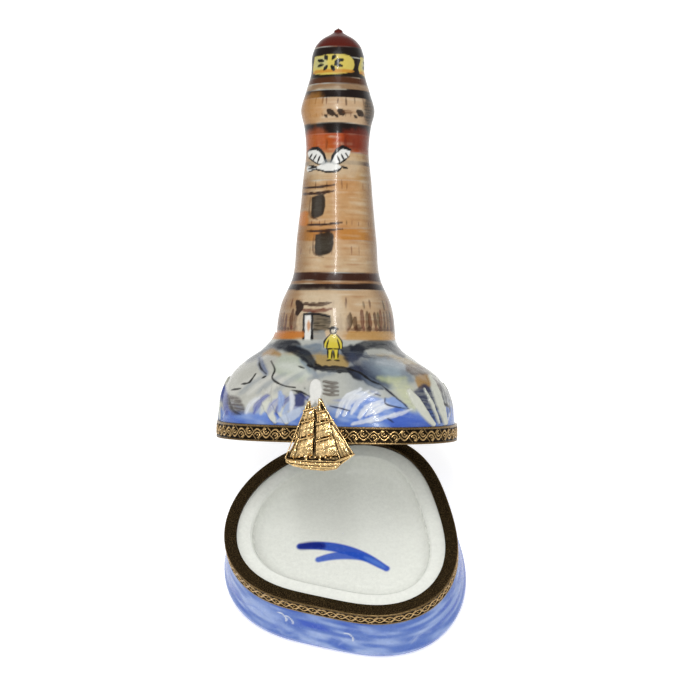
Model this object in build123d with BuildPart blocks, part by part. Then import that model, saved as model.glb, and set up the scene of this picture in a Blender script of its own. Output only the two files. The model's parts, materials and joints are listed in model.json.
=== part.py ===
from build123d import *
from math import cos, radians, sin
import os

# A hinged porcelain trinket box in the form of a lighthouse on a rocky shore.
# Millimetres. The origin is the middle of the flat foot, +Z is up, the hinge is at the
# back (+Y) and the ship-shaped clasp at the front (-Y). The lid is drawn leaning back
# on its stop, and its own planes carry every lid piece there from the closed position.

# ---------------------------------------------------------------- driving dimensions

# Plan outline of both brass rims: a round with a few lobes, each as (times round, size,
# phase in degrees).
rim_radius = 28.1
rim_lobes = ((1, 1.2, -46), (2, 1.15, -36), (3, 1.8, -133), (4, 0.6, -169))
outline_points = 40

# Porcelain base dish.
base_height = 17.4
foot_inset = 0.6
wall_flare = 1.55
dish_depth = 4.7
dish_floor_fillet = 3.4
dish_lip_fillet = 0.5
ledge_width = 3.8

# Brass rims: an L-section with a flat flange and a band with a sunk ground.
band_height = 3.9
band_thickness = 1.0
flange_width = 3.1
flange_thickness = 0.9
edge_line = 0.45
relief_depth = 0.25
closed_gap = 0.2

# Porcelain lid: rocky skirt and lighthouse tower.
lid_wall = 3.6
band_overhang = 0.6
shoulder_height = 13.6
shoulder_inset = 3.1
shoulder_lean = 1.0
skirt_height = 26.0
tower_offset = 0.7
tower_foot_radius = 14.3
foot_step = 0.1
flare_height = 38.4
shaft_bottom_radius = 10.6
shaft_top_height = 70.5
shaft_top_radius = 7.6
gallery_height = 78.6
gallery_radius = 8.95
lantern_height = 87.5
lantern_radius = 6.5
dome_height = 92.6
dome_radius = 6.05
tip_height = 98.7
tower_wall = 2.8
bore_height = 85.0

# Hinge: five knuckles on one pin, and heels on the lid's two that stop it open.
open_angle = 49.0
knuckle_count = 5
knuckle_radius = 1.1
knuckle_length = 2.1
knuckle_gap = 0.1
pin_radius = 0.45
pin_clearance = 0.05
pin_head_radius = 0.8
pin_head_length = 0.35
hinge_clearance = 0.13
hinge_seat_depth = 0.55
leaf_thickness = 0.6
leaf_clearance = 0.2
stop_clearance = 0.06
heel_thickness = 0.8
heel_drop = 2.6

# Ship-shaped clasp: a cast ship on a tongue that reaches down over the base's band.
clasp_angle = 267.5
tongue_width = 4.0
tongue_seat = 0.1
tongue_front = 0.6
tongue_clearance = 0.25
tongue_top = 3.4
nib_height = 0.5
nib_clearance = 0.04
ship_plate = 0.7
sail_relief = 0.8
hull_relief = 1.0
spar_relief = 0.4

os.makedirs("parts", exist_ok=True)


# ---------------------------------------------------------------- plan outline

def rim_normal_point(angle, out=0.0):
    """A point of the plan outline moved square outwards by out, and that outward direction."""
    turn = radians(angle)
    radius = rim_radius
    slope = 0.0
    for times, size, phase in rim_lobes:
        radius += size * cos(times * turn - radians(phase))
        slope -= size * times * sin(times * turn - radians(phase))
    along_x = slope * cos(turn) - radius * sin(turn)
    along_y = slope * sin(turn) + radius * cos(turn)
    outward = Vector(along_y, -along_x).normalized()
    return Vector(radius * cos(turn), radius * sin(turn)) + outward * out, outward


def rim_outline(out=0.0):
    """The points of the whole plan outline, moved outwards by out."""
    step = 360 / outline_points
    return [rim_normal_point(step * i, out)[0] for i in range(outline_points)]


def skirt_outline(inset, roundness, lean):
    """The plan outline drawn in by inset and turned, by roundness 0 to 1, into the tower's foot."""
    foot_radius = tower_foot_radius + foot_step + shoulder_inset - inset
    points = []
    for i in range(outline_points):
        angle = 360 * i / outline_points
        rim = rim_normal_point(angle, -inset)[0]
        foot = Vector(foot_radius * cos(radians(angle)) - tower_offset, foot_radius * sin(radians(angle)))
        points.append(rim * (1 - roundness) + foot * roundness - Vector(lean, 0))
    return points


def face_on(plane, points):
    """The face on a plane inside the smooth closed line through the points."""
    with BuildSketch(plane) as face:
        with BuildLine():
            Spline(*points, periodic=True)
        make_face()
    return face.sketch


# ---------------------------------------------------------------- places

back_point = max((rim_normal_point(angle)[0] for angle in range(60, 120)), key=lambda p: p.Y)
seat_y = back_point.Y - hinge_seat_depth
hinge_reach = knuckle_radius + hinge_clearance
hinge_y = seat_y + hinge_reach
hinge_z = base_height + closed_gap / 2
hinge_length = knuckle_count * knuckle_length + (knuckle_count - 1) * knuckle_gap
hinge_start = back_point.X - hinge_length / 2
saddle_height = knuckle_radius + leaf_clearance
mouth_z = base_height + closed_gap

# The turn about the hinge pin that takes the closed lid to its stop.
to_pin = Location((0, hinge_y, hinge_z))
lid_swing = to_pin * Location((0, 0, 0), (-open_angle, 0, 0)) * to_pin.inverse()


def on_lid(plane):
    """A plane of the closed lid, carried to where the open lid has it."""
    return Plane(lid_swing * plane.location)


def across_hinge(x):
    """The plane square to the pin at x, centred on the pin, with its own x to the back and y up."""
    return Plane(origin=(x, hinge_y, hinge_z), x_dir=(0, 1, 0), z_dir=(1, 0, 0))


mouth = on_lid(Plane.XY.offset(mouth_z))
tower_plane = on_lid(Plane(origin=(-tower_offset, 0, mouth_z), x_dir=(1, 0, 0), z_dir=(0, -1, 0)))
tower_axis = Axis(tower_plane.origin, tower_plane.y_dir)
clasp_point, clasp_outward = rim_normal_point(clasp_angle)
clasp_plane = on_lid(
    Plane(
        origin=(clasp_point.X, clasp_point.Y, mouth_z),
        x_dir=(-clasp_outward.Y, clasp_outward.X, 0),
        z_dir=(clasp_outward.X, clasp_outward.Y, 0),
    )
)


# ---------------------------------------------------------------- base dish

band_bottom = base_height - band_height
ledge_z = base_height - flange_thickness
dish_floor_z = ledge_z - dish_depth
wall_stages = (
    (0.0, -foot_inset),
    (0.05 * band_bottom, 0.55 * wall_flare),
    (0.16 * band_bottom, wall_flare),
    (0.42 * band_bottom, 0.68 * wall_flare),
    (0.76 * band_bottom, 0.2 * wall_flare),
    (0.92 * band_bottom, -0.5 * relief_depth),
    (band_bottom, -1.6 * relief_depth),
)

with BuildPart() as base_dish:
    loft([face_on(Plane.XY.offset(height), rim_outline(out)) for height, out in wall_stages])
    neck = face_on(Plane.XY.offset(band_bottom), rim_outline(-band_thickness))
    extrude(neck, amount=band_height - flange_thickness)
    dish_floor = face_on(Plane.XY.offset(dish_floor_z), rim_outline(-flange_width - ledge_width))
    extrude(dish_floor, amount=dish_depth, mode=Mode.SUBTRACT)
    floor_edge = base_dish.edges().filter_by_position(Axis.Z, dish_floor_z - 0.01, dish_floor_z + 0.01)
    fillet(floor_edge, radius=dish_floor_fillet)
    lip_edges = base_dish.edges().filter_by_position(Axis.Z, ledge_z - 0.01, ledge_z + 0.01)
    fillet(lip_edges.sort_by(SortBy.LENGTH)[0], radius=dish_lip_fillet)
base_dish.part.label = "base_dish"
export_step(base_dish.part, "parts/base_dish.step")


# ---------------------------------------------------------------- brass rims

def brass_rim(bottom, hollow_start):
    """One L-section rim standing on the plane bottom, hollow behind its band from hollow_start up."""
    extrude(face_on(bottom, rim_outline()), amount=band_height)
    hollow = face_on(bottom.offset(hollow_start), rim_outline(-band_thickness))
    extrude(hollow, amount=band_height - flange_thickness, mode=Mode.SUBTRACT)
    extrude(face_on(bottom, rim_outline(-flange_width)), amount=band_height, mode=Mode.SUBTRACT)
    ground = bottom.offset(edge_line)
    around = face_on(ground, rim_outline(band_thickness)) - face_on(ground, rim_outline(-relief_depth))
    extrude(around, amount=band_height - 2 * edge_line, mode=Mode.SUBTRACT)
    with BuildSketch(bottom) as seat:
        with Locations((back_point.X, seat_y + band_thickness)):
            Rectangle(hinge_length + 2 * knuckle_gap, 2 * band_thickness)
    extrude(seat.sketch, amount=band_height, mode=Mode.SUBTRACT)


with BuildPart() as base_rim:
    brass_rim(Plane.XY.offset(band_bottom), 0)
base_rim.part.label = "base_rim"
export_step(base_rim.part, "parts/base_rim.step")

with BuildPart() as lid_rim:
    brass_rim(mouth, flange_thickness)
    with BuildSketch(clasp_plane.offset(-tongue_seat)):
        with Locations((0, band_height / 2)):
            Rectangle(tongue_width + 2 * nib_clearance, band_height)
    extrude(amount=band_thickness, mode=Mode.SUBTRACT)
lid_rim.part.label = "lid_rim"
export_step(lid_rim.part, "parts/lid_rim.step")


# ---------------------------------------------------------------- lighthouse lid

def skirt_stages(wall):
    """Each level of the rocky skirt as height, inset, roundness and lean, drawn in by wall."""
    lower = shoulder_height - band_height
    upper = skirt_height - shoulder_height
    fall = shoulder_inset - band_overhang
    return (
        (band_height, band_overhang + wall, 0, 0),
        (band_height + 0.32 * lower, band_overhang + 0.16 * fall + wall, 0, 0),
        (band_height + 0.68 * lower, band_overhang + 0.44 * fall + wall, 0, 0.2 * shoulder_lean),
        (shoulder_height, shoulder_inset + wall, 0, 0.5 * shoulder_lean),
        (shoulder_height + 0.19 * upper, shoulder_inset + wall, 0.18, 0.8 * shoulder_lean),
        (shoulder_height + 0.40 * upper, shoulder_inset + wall, 0.48, shoulder_lean),
        (shoulder_height + 0.60 * upper, shoulder_inset + wall, 0.78, shoulder_lean),
        (shoulder_height + 0.81 * upper, shoulder_inset + wall, 0.95, 0.5 * shoulder_lean),
        (skirt_height, shoulder_inset + wall, 1, 0),
    )


def skirt_loft(wall, mode):
    """The skirt's rounded mound, as drawn for its outside or, with a wall, for its hollow."""
    stages = skirt_stages(wall)
    loft([face_on(mouth.offset(stage[0]), skirt_outline(*stage[1:])) for stage in stages], mode=mode)


with BuildPart() as lighthouse_lid:
    skirt_loft(0, Mode.ADD)
    neck = face_on(mouth.offset(flange_thickness), rim_outline(-band_thickness))
    extrude(neck, amount=band_height - flange_thickness)
    with BuildSketch(tower_plane):
        with BuildLine():
            Line((0, band_height), (tower_foot_radius - tower_wall, band_height))
            Line((tower_foot_radius - tower_wall, band_height), (tower_foot_radius, skirt_height - 1))
            Spline(
                (tower_foot_radius, skirt_height - 1),
                (0.7 * tower_foot_radius + 0.3 * shaft_bottom_radius, (skirt_height + flare_height) / 2),
                (shaft_bottom_radius, flare_height),
                tangents=((0, 1), (-0.4, 1)),
            )
            Line((shaft_bottom_radius, flare_height), (shaft_top_radius, shaft_top_height))
            Spline(
                (shaft_top_radius, shaft_top_height),
                (gallery_radius, gallery_height),
                (lantern_radius, lantern_height),
                tangents=((0, 1), (-0.1, 1)),
            )
            Line((lantern_radius, lantern_height), (dome_radius, dome_height))
            Spline(
                (dome_radius, dome_height),
                (0.78 * dome_radius, 0.6 * dome_height + 0.4 * tip_height),
                (0.4 * dome_radius, 0.28 * dome_height + 0.72 * tip_height),
                (0, tip_height),
                tangents=((-0.1, 1), (-0.9, 1)),
            )
            Line((0, tip_height), (0, band_height))
        make_face()
    revolve(axis=tower_axis)
    skirt_loft(lid_wall, Mode.SUBTRACT)
    extrude(face_on(mouth, rim_outline(-band_thickness - lid_wall)), amount=band_height, mode=Mode.SUBTRACT)
    with BuildSketch(tower_plane):
        Polygon(
            (0, shoulder_height - lid_wall),
            (tower_foot_radius - lid_wall, shoulder_height - lid_wall),
            (tower_foot_radius - lid_wall, skirt_height),
            (shaft_bottom_radius - tower_wall, flare_height),
            (shaft_top_radius - tower_wall, shaft_top_height),
            (shaft_top_radius - tower_wall, bore_height),
            (0, bore_height),
            align=None,
        )
    revolve(axis=tower_axis, mode=Mode.SUBTRACT)
lighthouse_lid.part.label = "lighthouse_lid"
export_step(lighthouse_lid.part, "parts/lighthouse_lid.step")


# ---------------------------------------------------------------- hinge

def hinge_leaf(plane, side):
    """The soldered plate above (side 1) or below (side -1) the pin, on the rim's flat seat."""
    height = band_height + closed_gap / 2 - saddle_height - knuckle_gap
    with BuildSketch(plane) as end:
        with Locations((leaf_thickness / 2 - hinge_reach, side * (saddle_height + height / 2))):
            Rectangle(leaf_thickness, height)
    extrude(end.sketch, amount=hinge_length)


def hinge_knuckle(plane, side):
    """A tube about the pin with a saddle back to the rim's flat seat, on the same side as its leaf."""
    height = saddle_height - closed_gap / 2
    with BuildSketch(plane) as end:
        Circle(knuckle_radius)
        with Locations((-hinge_reach / 2, side * (closed_gap + height) / 2)):
            Rectangle(hinge_reach, height)
        Circle(pin_radius + pin_clearance, mode=Mode.SUBTRACT)
    extrude(end.sketch, amount=knuckle_length)


def knuckle_start(index):
    """Where a knuckle begins along the pin, counted from the left."""
    return hinge_start + index * (knuckle_length + knuckle_gap)


def stop_heel(plane):
    """The tab that hangs from an open lid's knuckle and comes up against the base's leaf."""
    inner = leaf_thickness + stop_clearance - hinge_reach
    with BuildSketch(plane) as end:
        with Locations((inner + heel_thickness / 2, -heel_drop / 2)):
            Rectangle(heel_thickness, heel_drop)
        Circle(pin_radius + pin_clearance, mode=Mode.SUBTRACT)
    extrude(end.sketch, amount=knuckle_length)


with BuildPart() as base_hinge_leaf:
    hinge_leaf(across_hinge(hinge_start), -1)
base_hinge_leaf.part.label = "base_hinge_leaf"
export_step(base_hinge_leaf.part, "parts/base_hinge_leaf.step")

with BuildPart() as lid_hinge_leaf:
    hinge_leaf(on_lid(across_hinge(hinge_start)), 1)
lid_hinge_leaf.part.label = "lid_hinge_leaf"
export_step(lid_hinge_leaf.part, "parts/lid_hinge_leaf.step")

for index, name in ((0, "left"), (2, "middle"), (4, "right")):
    with BuildPart() as base_knuckle:
        hinge_knuckle(across_hinge(knuckle_start(index)), -1)
    base_knuckle.part.label = f"base_knuckle_{name}"
    export_step(base_knuckle.part, f"parts/base_knuckle_{name}.step")

for index, name in ((1, "left"), (3, "right")):
    with BuildPart() as lid_knuckle:
        hinge_knuckle(on_lid(across_hinge(knuckle_start(index))), 1)
        stop_heel(across_hinge(knuckle_start(index)))
    lid_knuckle.part.label = f"lid_knuckle_{name}"
    export_step(lid_knuckle.part, f"parts/lid_knuckle_{name}.step")

with BuildPart() as hinge_pin:
    with BuildSketch(across_hinge(hinge_start)):
        Circle(pin_radius)
    extrude(amount=hinge_length)
    with BuildSketch(across_hinge(hinge_start - pin_head_length), across_hinge(hinge_start + hinge_length)):
        Circle(pin_head_radius)
    extrude(amount=pin_head_length)
hinge_pin.part.label = "hinge_pin"
export_step(hinge_pin.part, "parts/hinge_pin.step")


# ---------------------------------------------------------------- ship clasp

nib_bottom = -closed_gap - band_height - knuckle_gap - nib_height

with BuildPart() as clasp_tongue:
    with BuildSketch(clasp_plane.offset(-tongue_seat)):
        with Locations((0, tongue_top / 2)):
            Rectangle(tongue_width, tongue_top)
    extrude(amount=tongue_front + tongue_seat)
    with BuildSketch(clasp_plane.offset(tongue_clearance)):
        with Locations((0, nib_bottom / 2)):
            Rectangle(tongue_width, -nib_bottom)
    extrude(amount=tongue_front - tongue_clearance)
    with BuildSketch(clasp_plane.offset(nib_clearance)):
        with Locations((0, nib_bottom + nib_height / 2)):
            Rectangle(tongue_width, nib_height)
    extrude(amount=tongue_clearance - nib_clearance)
clasp_tongue.part.label = "clasp_tongue"
export_step(clasp_tongue.part, "parts/clasp_tongue.step")

# The ship's outline, from the left masthead round by the stern, the keel and the bowsprit.
ship_outline = (
    (-2.8, 9.7), (-3.2, 8.2), (-4.4, 6.2), (-5.3, 1.8), (-6.7, -1.0), (-8.3, -3.4), (-7.9, -4.6),
    (-3.8, -5.9), (1.0, -6.2), (4.0, -5.7), (5.3, -4.4), (8.4, -2.2), (4.9, 1.8), (2.3, 6.4),
    (0.3, 10.3), (-0.4, 10.3), (-0.7, 8.0), (-2.0, 7.6), (-2.4, 9.7),
)
sail_rows = ((7.0, 4.9), (4.4, 1.1), (0.6, -3.0))
# Each column of sails lies between two leaning lines, as x at the mouth's level and slope.
sail_columns = (((-5.2, 0.16), (-1.3, 0.0)), ((-0.9, 0.0), (3.7, -0.27)))
hull_outline = ((-8.0, -3.6), (-5.8, -3.9), (4.9, -3.9), (5.0, -4.6), (3.8, -5.5), (-3.8, -5.7), (-7.7, -4.5))
jib_outline = ((3.0, 3.9), (4.6, -2.8), (7.6, -2.2))

with BuildPart() as ship_clasp:
    with BuildSketch(clasp_plane.offset(tongue_front)):
        Polygon(*ship_outline, align=None)
    extrude(amount=ship_plate)
    with BuildSketch(clasp_plane.offset(tongue_front + ship_plate)):
        for top, bottom in sail_rows:
            for (left, left_slope), (right, right_slope) in sail_columns:
                Polygon(
                    (left + left_slope * top, top),
                    (right + right_slope * top, top),
                    (right + right_slope * bottom, bottom),
                    (left + left_slope * bottom, bottom),
                    align=None,
                )
    extrude(amount=sail_relief)
    with BuildSketch(clasp_plane.offset(tongue_front + ship_plate)):
        Polygon(*hull_outline, align=None)
    extrude(amount=hull_relief)
    with BuildSketch(clasp_plane.offset(tongue_front + ship_plate)):
        Polygon(*jib_outline, align=None)
    extrude(amount=spar_relief)
ship_clasp.part.label = "ship_clasp"
export_step(ship_clasp.part, "parts/ship_clasp.step")
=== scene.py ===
import json
from math import cos, pi, radians, sin, tau

import bpy
import numpy as np
from mathutils import Matrix, Vector


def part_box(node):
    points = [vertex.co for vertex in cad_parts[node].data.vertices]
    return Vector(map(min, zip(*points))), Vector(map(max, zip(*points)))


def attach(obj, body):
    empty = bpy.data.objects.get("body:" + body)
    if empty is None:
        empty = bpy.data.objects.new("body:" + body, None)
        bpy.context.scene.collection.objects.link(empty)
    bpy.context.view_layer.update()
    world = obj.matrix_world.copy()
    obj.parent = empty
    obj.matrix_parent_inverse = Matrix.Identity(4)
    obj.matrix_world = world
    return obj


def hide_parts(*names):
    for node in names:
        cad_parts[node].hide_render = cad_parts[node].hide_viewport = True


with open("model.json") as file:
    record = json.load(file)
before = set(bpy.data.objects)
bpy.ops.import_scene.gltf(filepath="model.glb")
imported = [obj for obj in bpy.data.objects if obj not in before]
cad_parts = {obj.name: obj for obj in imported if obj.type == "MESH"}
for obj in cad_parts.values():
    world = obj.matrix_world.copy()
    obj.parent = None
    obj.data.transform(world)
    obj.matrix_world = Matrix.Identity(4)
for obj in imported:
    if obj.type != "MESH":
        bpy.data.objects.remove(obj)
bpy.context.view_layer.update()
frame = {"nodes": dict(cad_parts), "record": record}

# A hinged porcelain trinket box: a lighthouse on a rocky shore as its lid, a shallow dish as
# its base, brass rims and a ship-shaped clasp. Sizes are in millimetres until a mesh is made.
MM = 0.001

# ---------------------------------------------------------------- sizes shared with the CAD

RIM_RADIUS = 28.1
RIM_LOBES = ((1, 1.2, -46), (2, 1.15, -36), (3, 1.8, -133), (4, 0.6, -169))
BAND_HEIGHT = 3.9
BAND_THICKNESS = 1.0
FLANGE_WIDTH = 3.1
FLANGE_THICKNESS = 0.9
EDGE_LINE = 0.45
RELIEF_DEPTH = 0.25
CLOSED_GAP = 0.2
DISH_DEPTH = 4.7
LID_WALL = 3.6
TOWER_OFFSET = 0.7
BORE_HEIGHT = 85.0
SEAT_LENGTH = 11.1
KNUCKLE_RADIUS = 1.1
HINGE_CLEARANCE = 0.13
CLASP_ANGLE = 267.5
PLATE_BACK = 0.6

pin_low, pin_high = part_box("hinge_pin")
HINGE_X = (pin_low[0] + pin_high[0]) / 2 / MM
HINGE_Y = (pin_low[1] + pin_high[1]) / 2 / MM
HINGE_Z = (pin_low[2] + pin_high[2]) / 2 / MM
BASE_HEIGHT = HINGE_Z - CLOSED_GAP / 2
SEAT_Y = HINGE_Y - KNUCKLE_RADIUS - HINGE_CLEARANCE
OPEN_ANGLE = -frame["record"]["behaviour"]["joints"][0]["range_deg"][0]

# The side that the picture is taken from: the heading of the eye round the object, in degrees.
FRONT = 5.6


def rim_point(turn, out=0.0):
    """Points of the rims' plan outline at the angles turn, moved square outwards by out."""
    radius = np.full_like(turn, RIM_RADIUS)
    slope = np.zeros_like(turn)
    for times, size, phase in RIM_LOBES:
        radius += size * np.cos(times * turn - radians(phase))
        slope -= size * times * np.sin(times * turn - radians(phase))
    along_x = slope * np.cos(turn) - radius * np.sin(turn)
    along_y = slope * np.sin(turn) + radius * np.cos(turn)
    length = np.hypot(along_x, along_y)
    return radius * np.cos(turn) + out * along_y / length, radius * np.sin(turn) - out * along_x / length


def on_base(x, y, depth):
    """Points given by their depth under the base's mouth."""
    return x, y, BASE_HEIGHT - depth


def on_lid(x, y, height):
    """Carries points given over the closed lid's mouth to where the open lid has them."""
    back = y - HINGE_Y
    up = height + CLOSED_GAP / 2
    lean = radians(OPEN_ANGLE)
    return x, HINGE_Y + back * cos(lean) + up * sin(lean), HINGE_Z - back * sin(lean) + up * cos(lean)


# ---------------------------------------------------------------- small tools

def linear(color):
    """A paint colour, given as 0 to 255 on screen, as linear light."""
    share = np.asarray(color, float) / 255
    return np.where(share <= 0.04045, share / 12.92, ((share + 0.055) / 1.055) ** 2.4)


def ease(value):
    """Runs smoothly from 0 to 1 as value does."""
    value = np.clip(value, 0, 1)
    return value * value * (3 - 2 * value)


def noise(u, v, seed, repeat=64):
    """Smooth random values from 0 to 1 with unit cells, the same again after repeat cells of u."""
    table = np.random.default_rng(seed).random((repeat, 64))
    low_u, low_v = np.floor(u).astype(int), np.floor(v).astype(int)
    part_u, part_v = ease(u - low_u), ease(v - low_v)
    left, right = low_u % repeat, (low_u + 1) % repeat
    bottom, top = low_v % 64, (low_v + 1) % 64
    lower = table[left, bottom] * (1 - part_u) + table[right, bottom] * part_u
    upper = table[left, top] * (1 - part_u) + table[right, top] * part_u
    return lower * (1 - part_v) + upper * part_v


def smooth_curve(at, knots, values):
    """A smooth curve through the knots' values, with each slope set by the neighbours."""
    knots, values = np.asarray(knots, float), np.asarray(values, float)
    slopes = np.gradient(values, knots)
    index = np.clip(np.searchsorted(knots, at, side="right") - 1, 0, len(knots) - 2)
    gap = knots[index + 1] - knots[index]
    t = np.clip((at - knots[index]) / gap, 0, 1)
    return (
        (2 * t**3 - 3 * t**2 + 1) * values[index]
        + (t**3 - 2 * t**2 + t) * gap * slopes[index]
        + (3 * t**2 - 2 * t**3) * values[index + 1]
        + (t**3 - t**2) * gap * slopes[index + 1]
    )


def smooth_line(points, closed=False, steps=6):
    """Close-set points on a smooth line through a few given ones."""
    points = np.asarray(points, float)
    if len(points) == 2 and not closed:
        return points
    if closed:
        points = np.concatenate([points, points[:1]])
    places = np.arange(len(points))
    at = np.linspace(0, len(points) - 1, (len(points) - 1) * steps + 1)
    return np.stack([smooth_curve(at, places, points[:, axis]) for axis in (0, 1)], -1)


def turns_round(front_columns, back_columns):
    """Angles round the object, closer together on the side that the picture shows."""
    middle, half = FRONT - 90, 100
    front = np.linspace(middle - half, middle + half, front_columns, endpoint=False)
    back = np.linspace(middle + half, middle - half + 360, back_columns, endpoint=False)
    return np.radians(np.concatenate([front, back]))


def grid_faces(rows, columns, closed_section=False):
    """Four-sided faces of a sheet of rows that each run once round the object."""
    row = np.arange(rows if closed_section else rows - 1)[:, None]
    column = np.arange(columns)[None, :]
    below, above = row * columns, (row + 1) % rows * columns
    right = (column + 1) % columns
    return np.stack([below + column, below + right, above + right, above + column], -1).reshape(-1, 4)


def make_mesh(name, points, faces, flip=False):
    """A smooth-shaded mesh object from points in millimetres."""
    mesh = bpy.data.meshes.new(name)
    if flip:
        faces = [tuple(reversed(face)) for face in faces]
    mesh.from_pydata((np.asarray(points) * MM).tolist(), [], [tuple(face) for face in faces])
    mesh.validate()
    mesh.shade_smooth()
    piece = bpy.data.objects.new(name, mesh)
    bpy.context.scene.collection.objects.link(piece)
    return piece


def give_floats(piece, name, values):
    made = piece.data.attributes.new(name, "FLOAT", "POINT")
    made.data.foreach_set("value", np.asarray(values, np.float32))


def give_colors(piece, name, colors):
    rgba = np.ones((len(colors), 4), np.float32)
    rgba[:, :3] = colors
    made = piece.data.color_attributes.new(name, "FLOAT_COLOR", "POINT")
    made.data.foreach_set("color", rgba.ravel())


def finish_piece(piece, material, body, slot, *nodes):
    piece.data.materials.append(material)
    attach(piece, body)
    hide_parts(*nodes)


# ---------------------------------------------------------------- materials

def set_inputs(node, values):
    """Sets a node's sockets to constants."""
    for name, value in values.items():
        node.inputs[name].default_value = value


class Material:
    """A Principled material and short ways to add nodes to it."""

    def __init__(self, name):
        self.material = bpy.data.materials.new(name)
        self.material.use_nodes = True
        self.tree = self.material.node_tree
        self.shader = self.tree.nodes["Principled BSDF"]

    def node(self, kind, **settings):
        made = self.tree.nodes.new(kind)
        for key, value in settings.items():
            setattr(made, key, value)
        return made

    def link(self, source, target):
        self.tree.links.new(source, target)

    def attribute(self, name, output="Color"):
        return self.node("ShaderNodeAttribute", attribute_name=name).outputs[output]

    def noise(self, size, detail=4.0, roughness=0.6):
        """Noise with features of the given size in millimetres."""
        texture = self.node("ShaderNodeTexNoise")
        set_inputs(texture, {"Scale": 1 / (size * MM), "Detail": detail, "Roughness": roughness})
        self.link(self.node("ShaderNodeTexCoord").outputs["Object"], texture.inputs["Vector"])
        return texture.outputs["Fac"]

    def ramp(self, source, *stops):
        made = self.node("ShaderNodeValToRGB")
        ramp = made.color_ramp
        while len(ramp.elements) < len(stops):
            ramp.elements.new(0.5)
        for element, (place, color) in zip(ramp.elements, stops):
            element.position = place
            element.color = (*color, 1) if len(np.shape(color)) else (color, color, color, 1)
        self.link(source, made.inputs["Fac"])
        return made.outputs["Color"]

    def math(self, operation, first, second):
        made = self.node("ShaderNodeMath", operation=operation)
        for socket, value in zip(made.inputs, (first, second)):
            if isinstance(value, (int, float)):
                socket.default_value = value
            else:
                self.link(value, socket)
        return made.outputs[0]

    def multiply(self, first, second):
        """Two colours multiplied."""
        made = self.node("ShaderNodeMix", data_type="RGBA", blend_type="MULTIPLY")
        made.inputs[0].default_value = 1
        self.link(first, made.inputs[6])
        self.link(second, made.inputs[7])
        return made.outputs[2]

    def spread(self, source, amount):
        """Noise taken down to run evenly below and above zero."""
        return self.math("MULTIPLY", self.math("SUBTRACT", source, 0.5), amount)

    def bump(self, source, height):
        """Bump of the given height in millimetres."""
        made = self.node("ShaderNodeBump")
        set_inputs(made, {"Strength": 1, "Distance": height * MM})
        self.link(source, made.inputs["Height"])
        self.link(made.outputs["Normal"], self.shader.inputs["Normal"])


def glazed_paint(name, roughness, bump):
    """Brushed overglaze colours from the paint attribute, under a clear glaze."""
    made = Material(name)
    streaks = made.ramp(made.noise(0.9, 5, 0.65), (0.3, 0.90), (0.7, 1.0))
    fine = made.ramp(made.noise(0.22, 3, 0.7), (0.3, 0.95), (0.7, 1.0))
    color = made.multiply(made.multiply(made.attribute("paint"), streaks), fine)
    gloss = made.ramp(made.noise(1.6), (0.3, roughness), (0.7, roughness + 0.12))
    made.link(color, made.shader.inputs["Base Color"])
    made.link(gloss, made.shader.inputs["Roughness"])
    set_inputs(made.shader, {"Coat Weight": 0.16, "Coat Roughness": 0.04})
    set_inputs(made.shader, {"Specular IOR Level": 0.28, "IOR": 1.36})
    made.bump(made.noise(1.1, 3), bump)
    return made.material


def old_brass(name, high, low, worn=True):
    """Brass with a black patina in its recesses and painted shade on the rims' flat flanges, rubbed bright
    where that attribute of patina and shade is high.
    """
    made = Material(name)
    speckle = made.noise(0.28, 5, 0.75)
    if worn:
        level = made.math("ADD", made.attribute("patina_and_shade", "Fac"), made.spread(speckle, 0.7))
    else:
        level = made.math("ADD", speckle, made.spread(made.noise(3.5, 3), 0.8))
    middle = tuple(0.35 * a + 0.65 * b for a, b in zip(high, low))
    color = made.ramp(level, (0.34, low), (0.56, middle), (0.86, high))
    made.link(color, made.shader.inputs["Base Color"])
    set_inputs(made.shader, {"Metallic": 1})
    made.link(made.ramp(level, (0.1, 0.42), (0.8, 0.2)), made.shader.inputs["Roughness"])
    made.bump(made.noise(0.2, 4, 0.7), 0.035)
    return made.material


def studio_floor():
    made = Material("pale_floor")
    made.link(made.ramp(made.noise(25, 2), (0.3, 0.86), (0.7, 0.89)), made.shader.inputs["Base Color"])
    set_inputs(made.shader, {"Roughness": 0.9, "Specular IOR Level": 0.1})
    set_inputs(made.shader, {"Emission Color": (1, 1, 1, 1), "Emission Strength": 0.45})
    return made.material


# ---------------------------------------------------------------- brushwork

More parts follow.
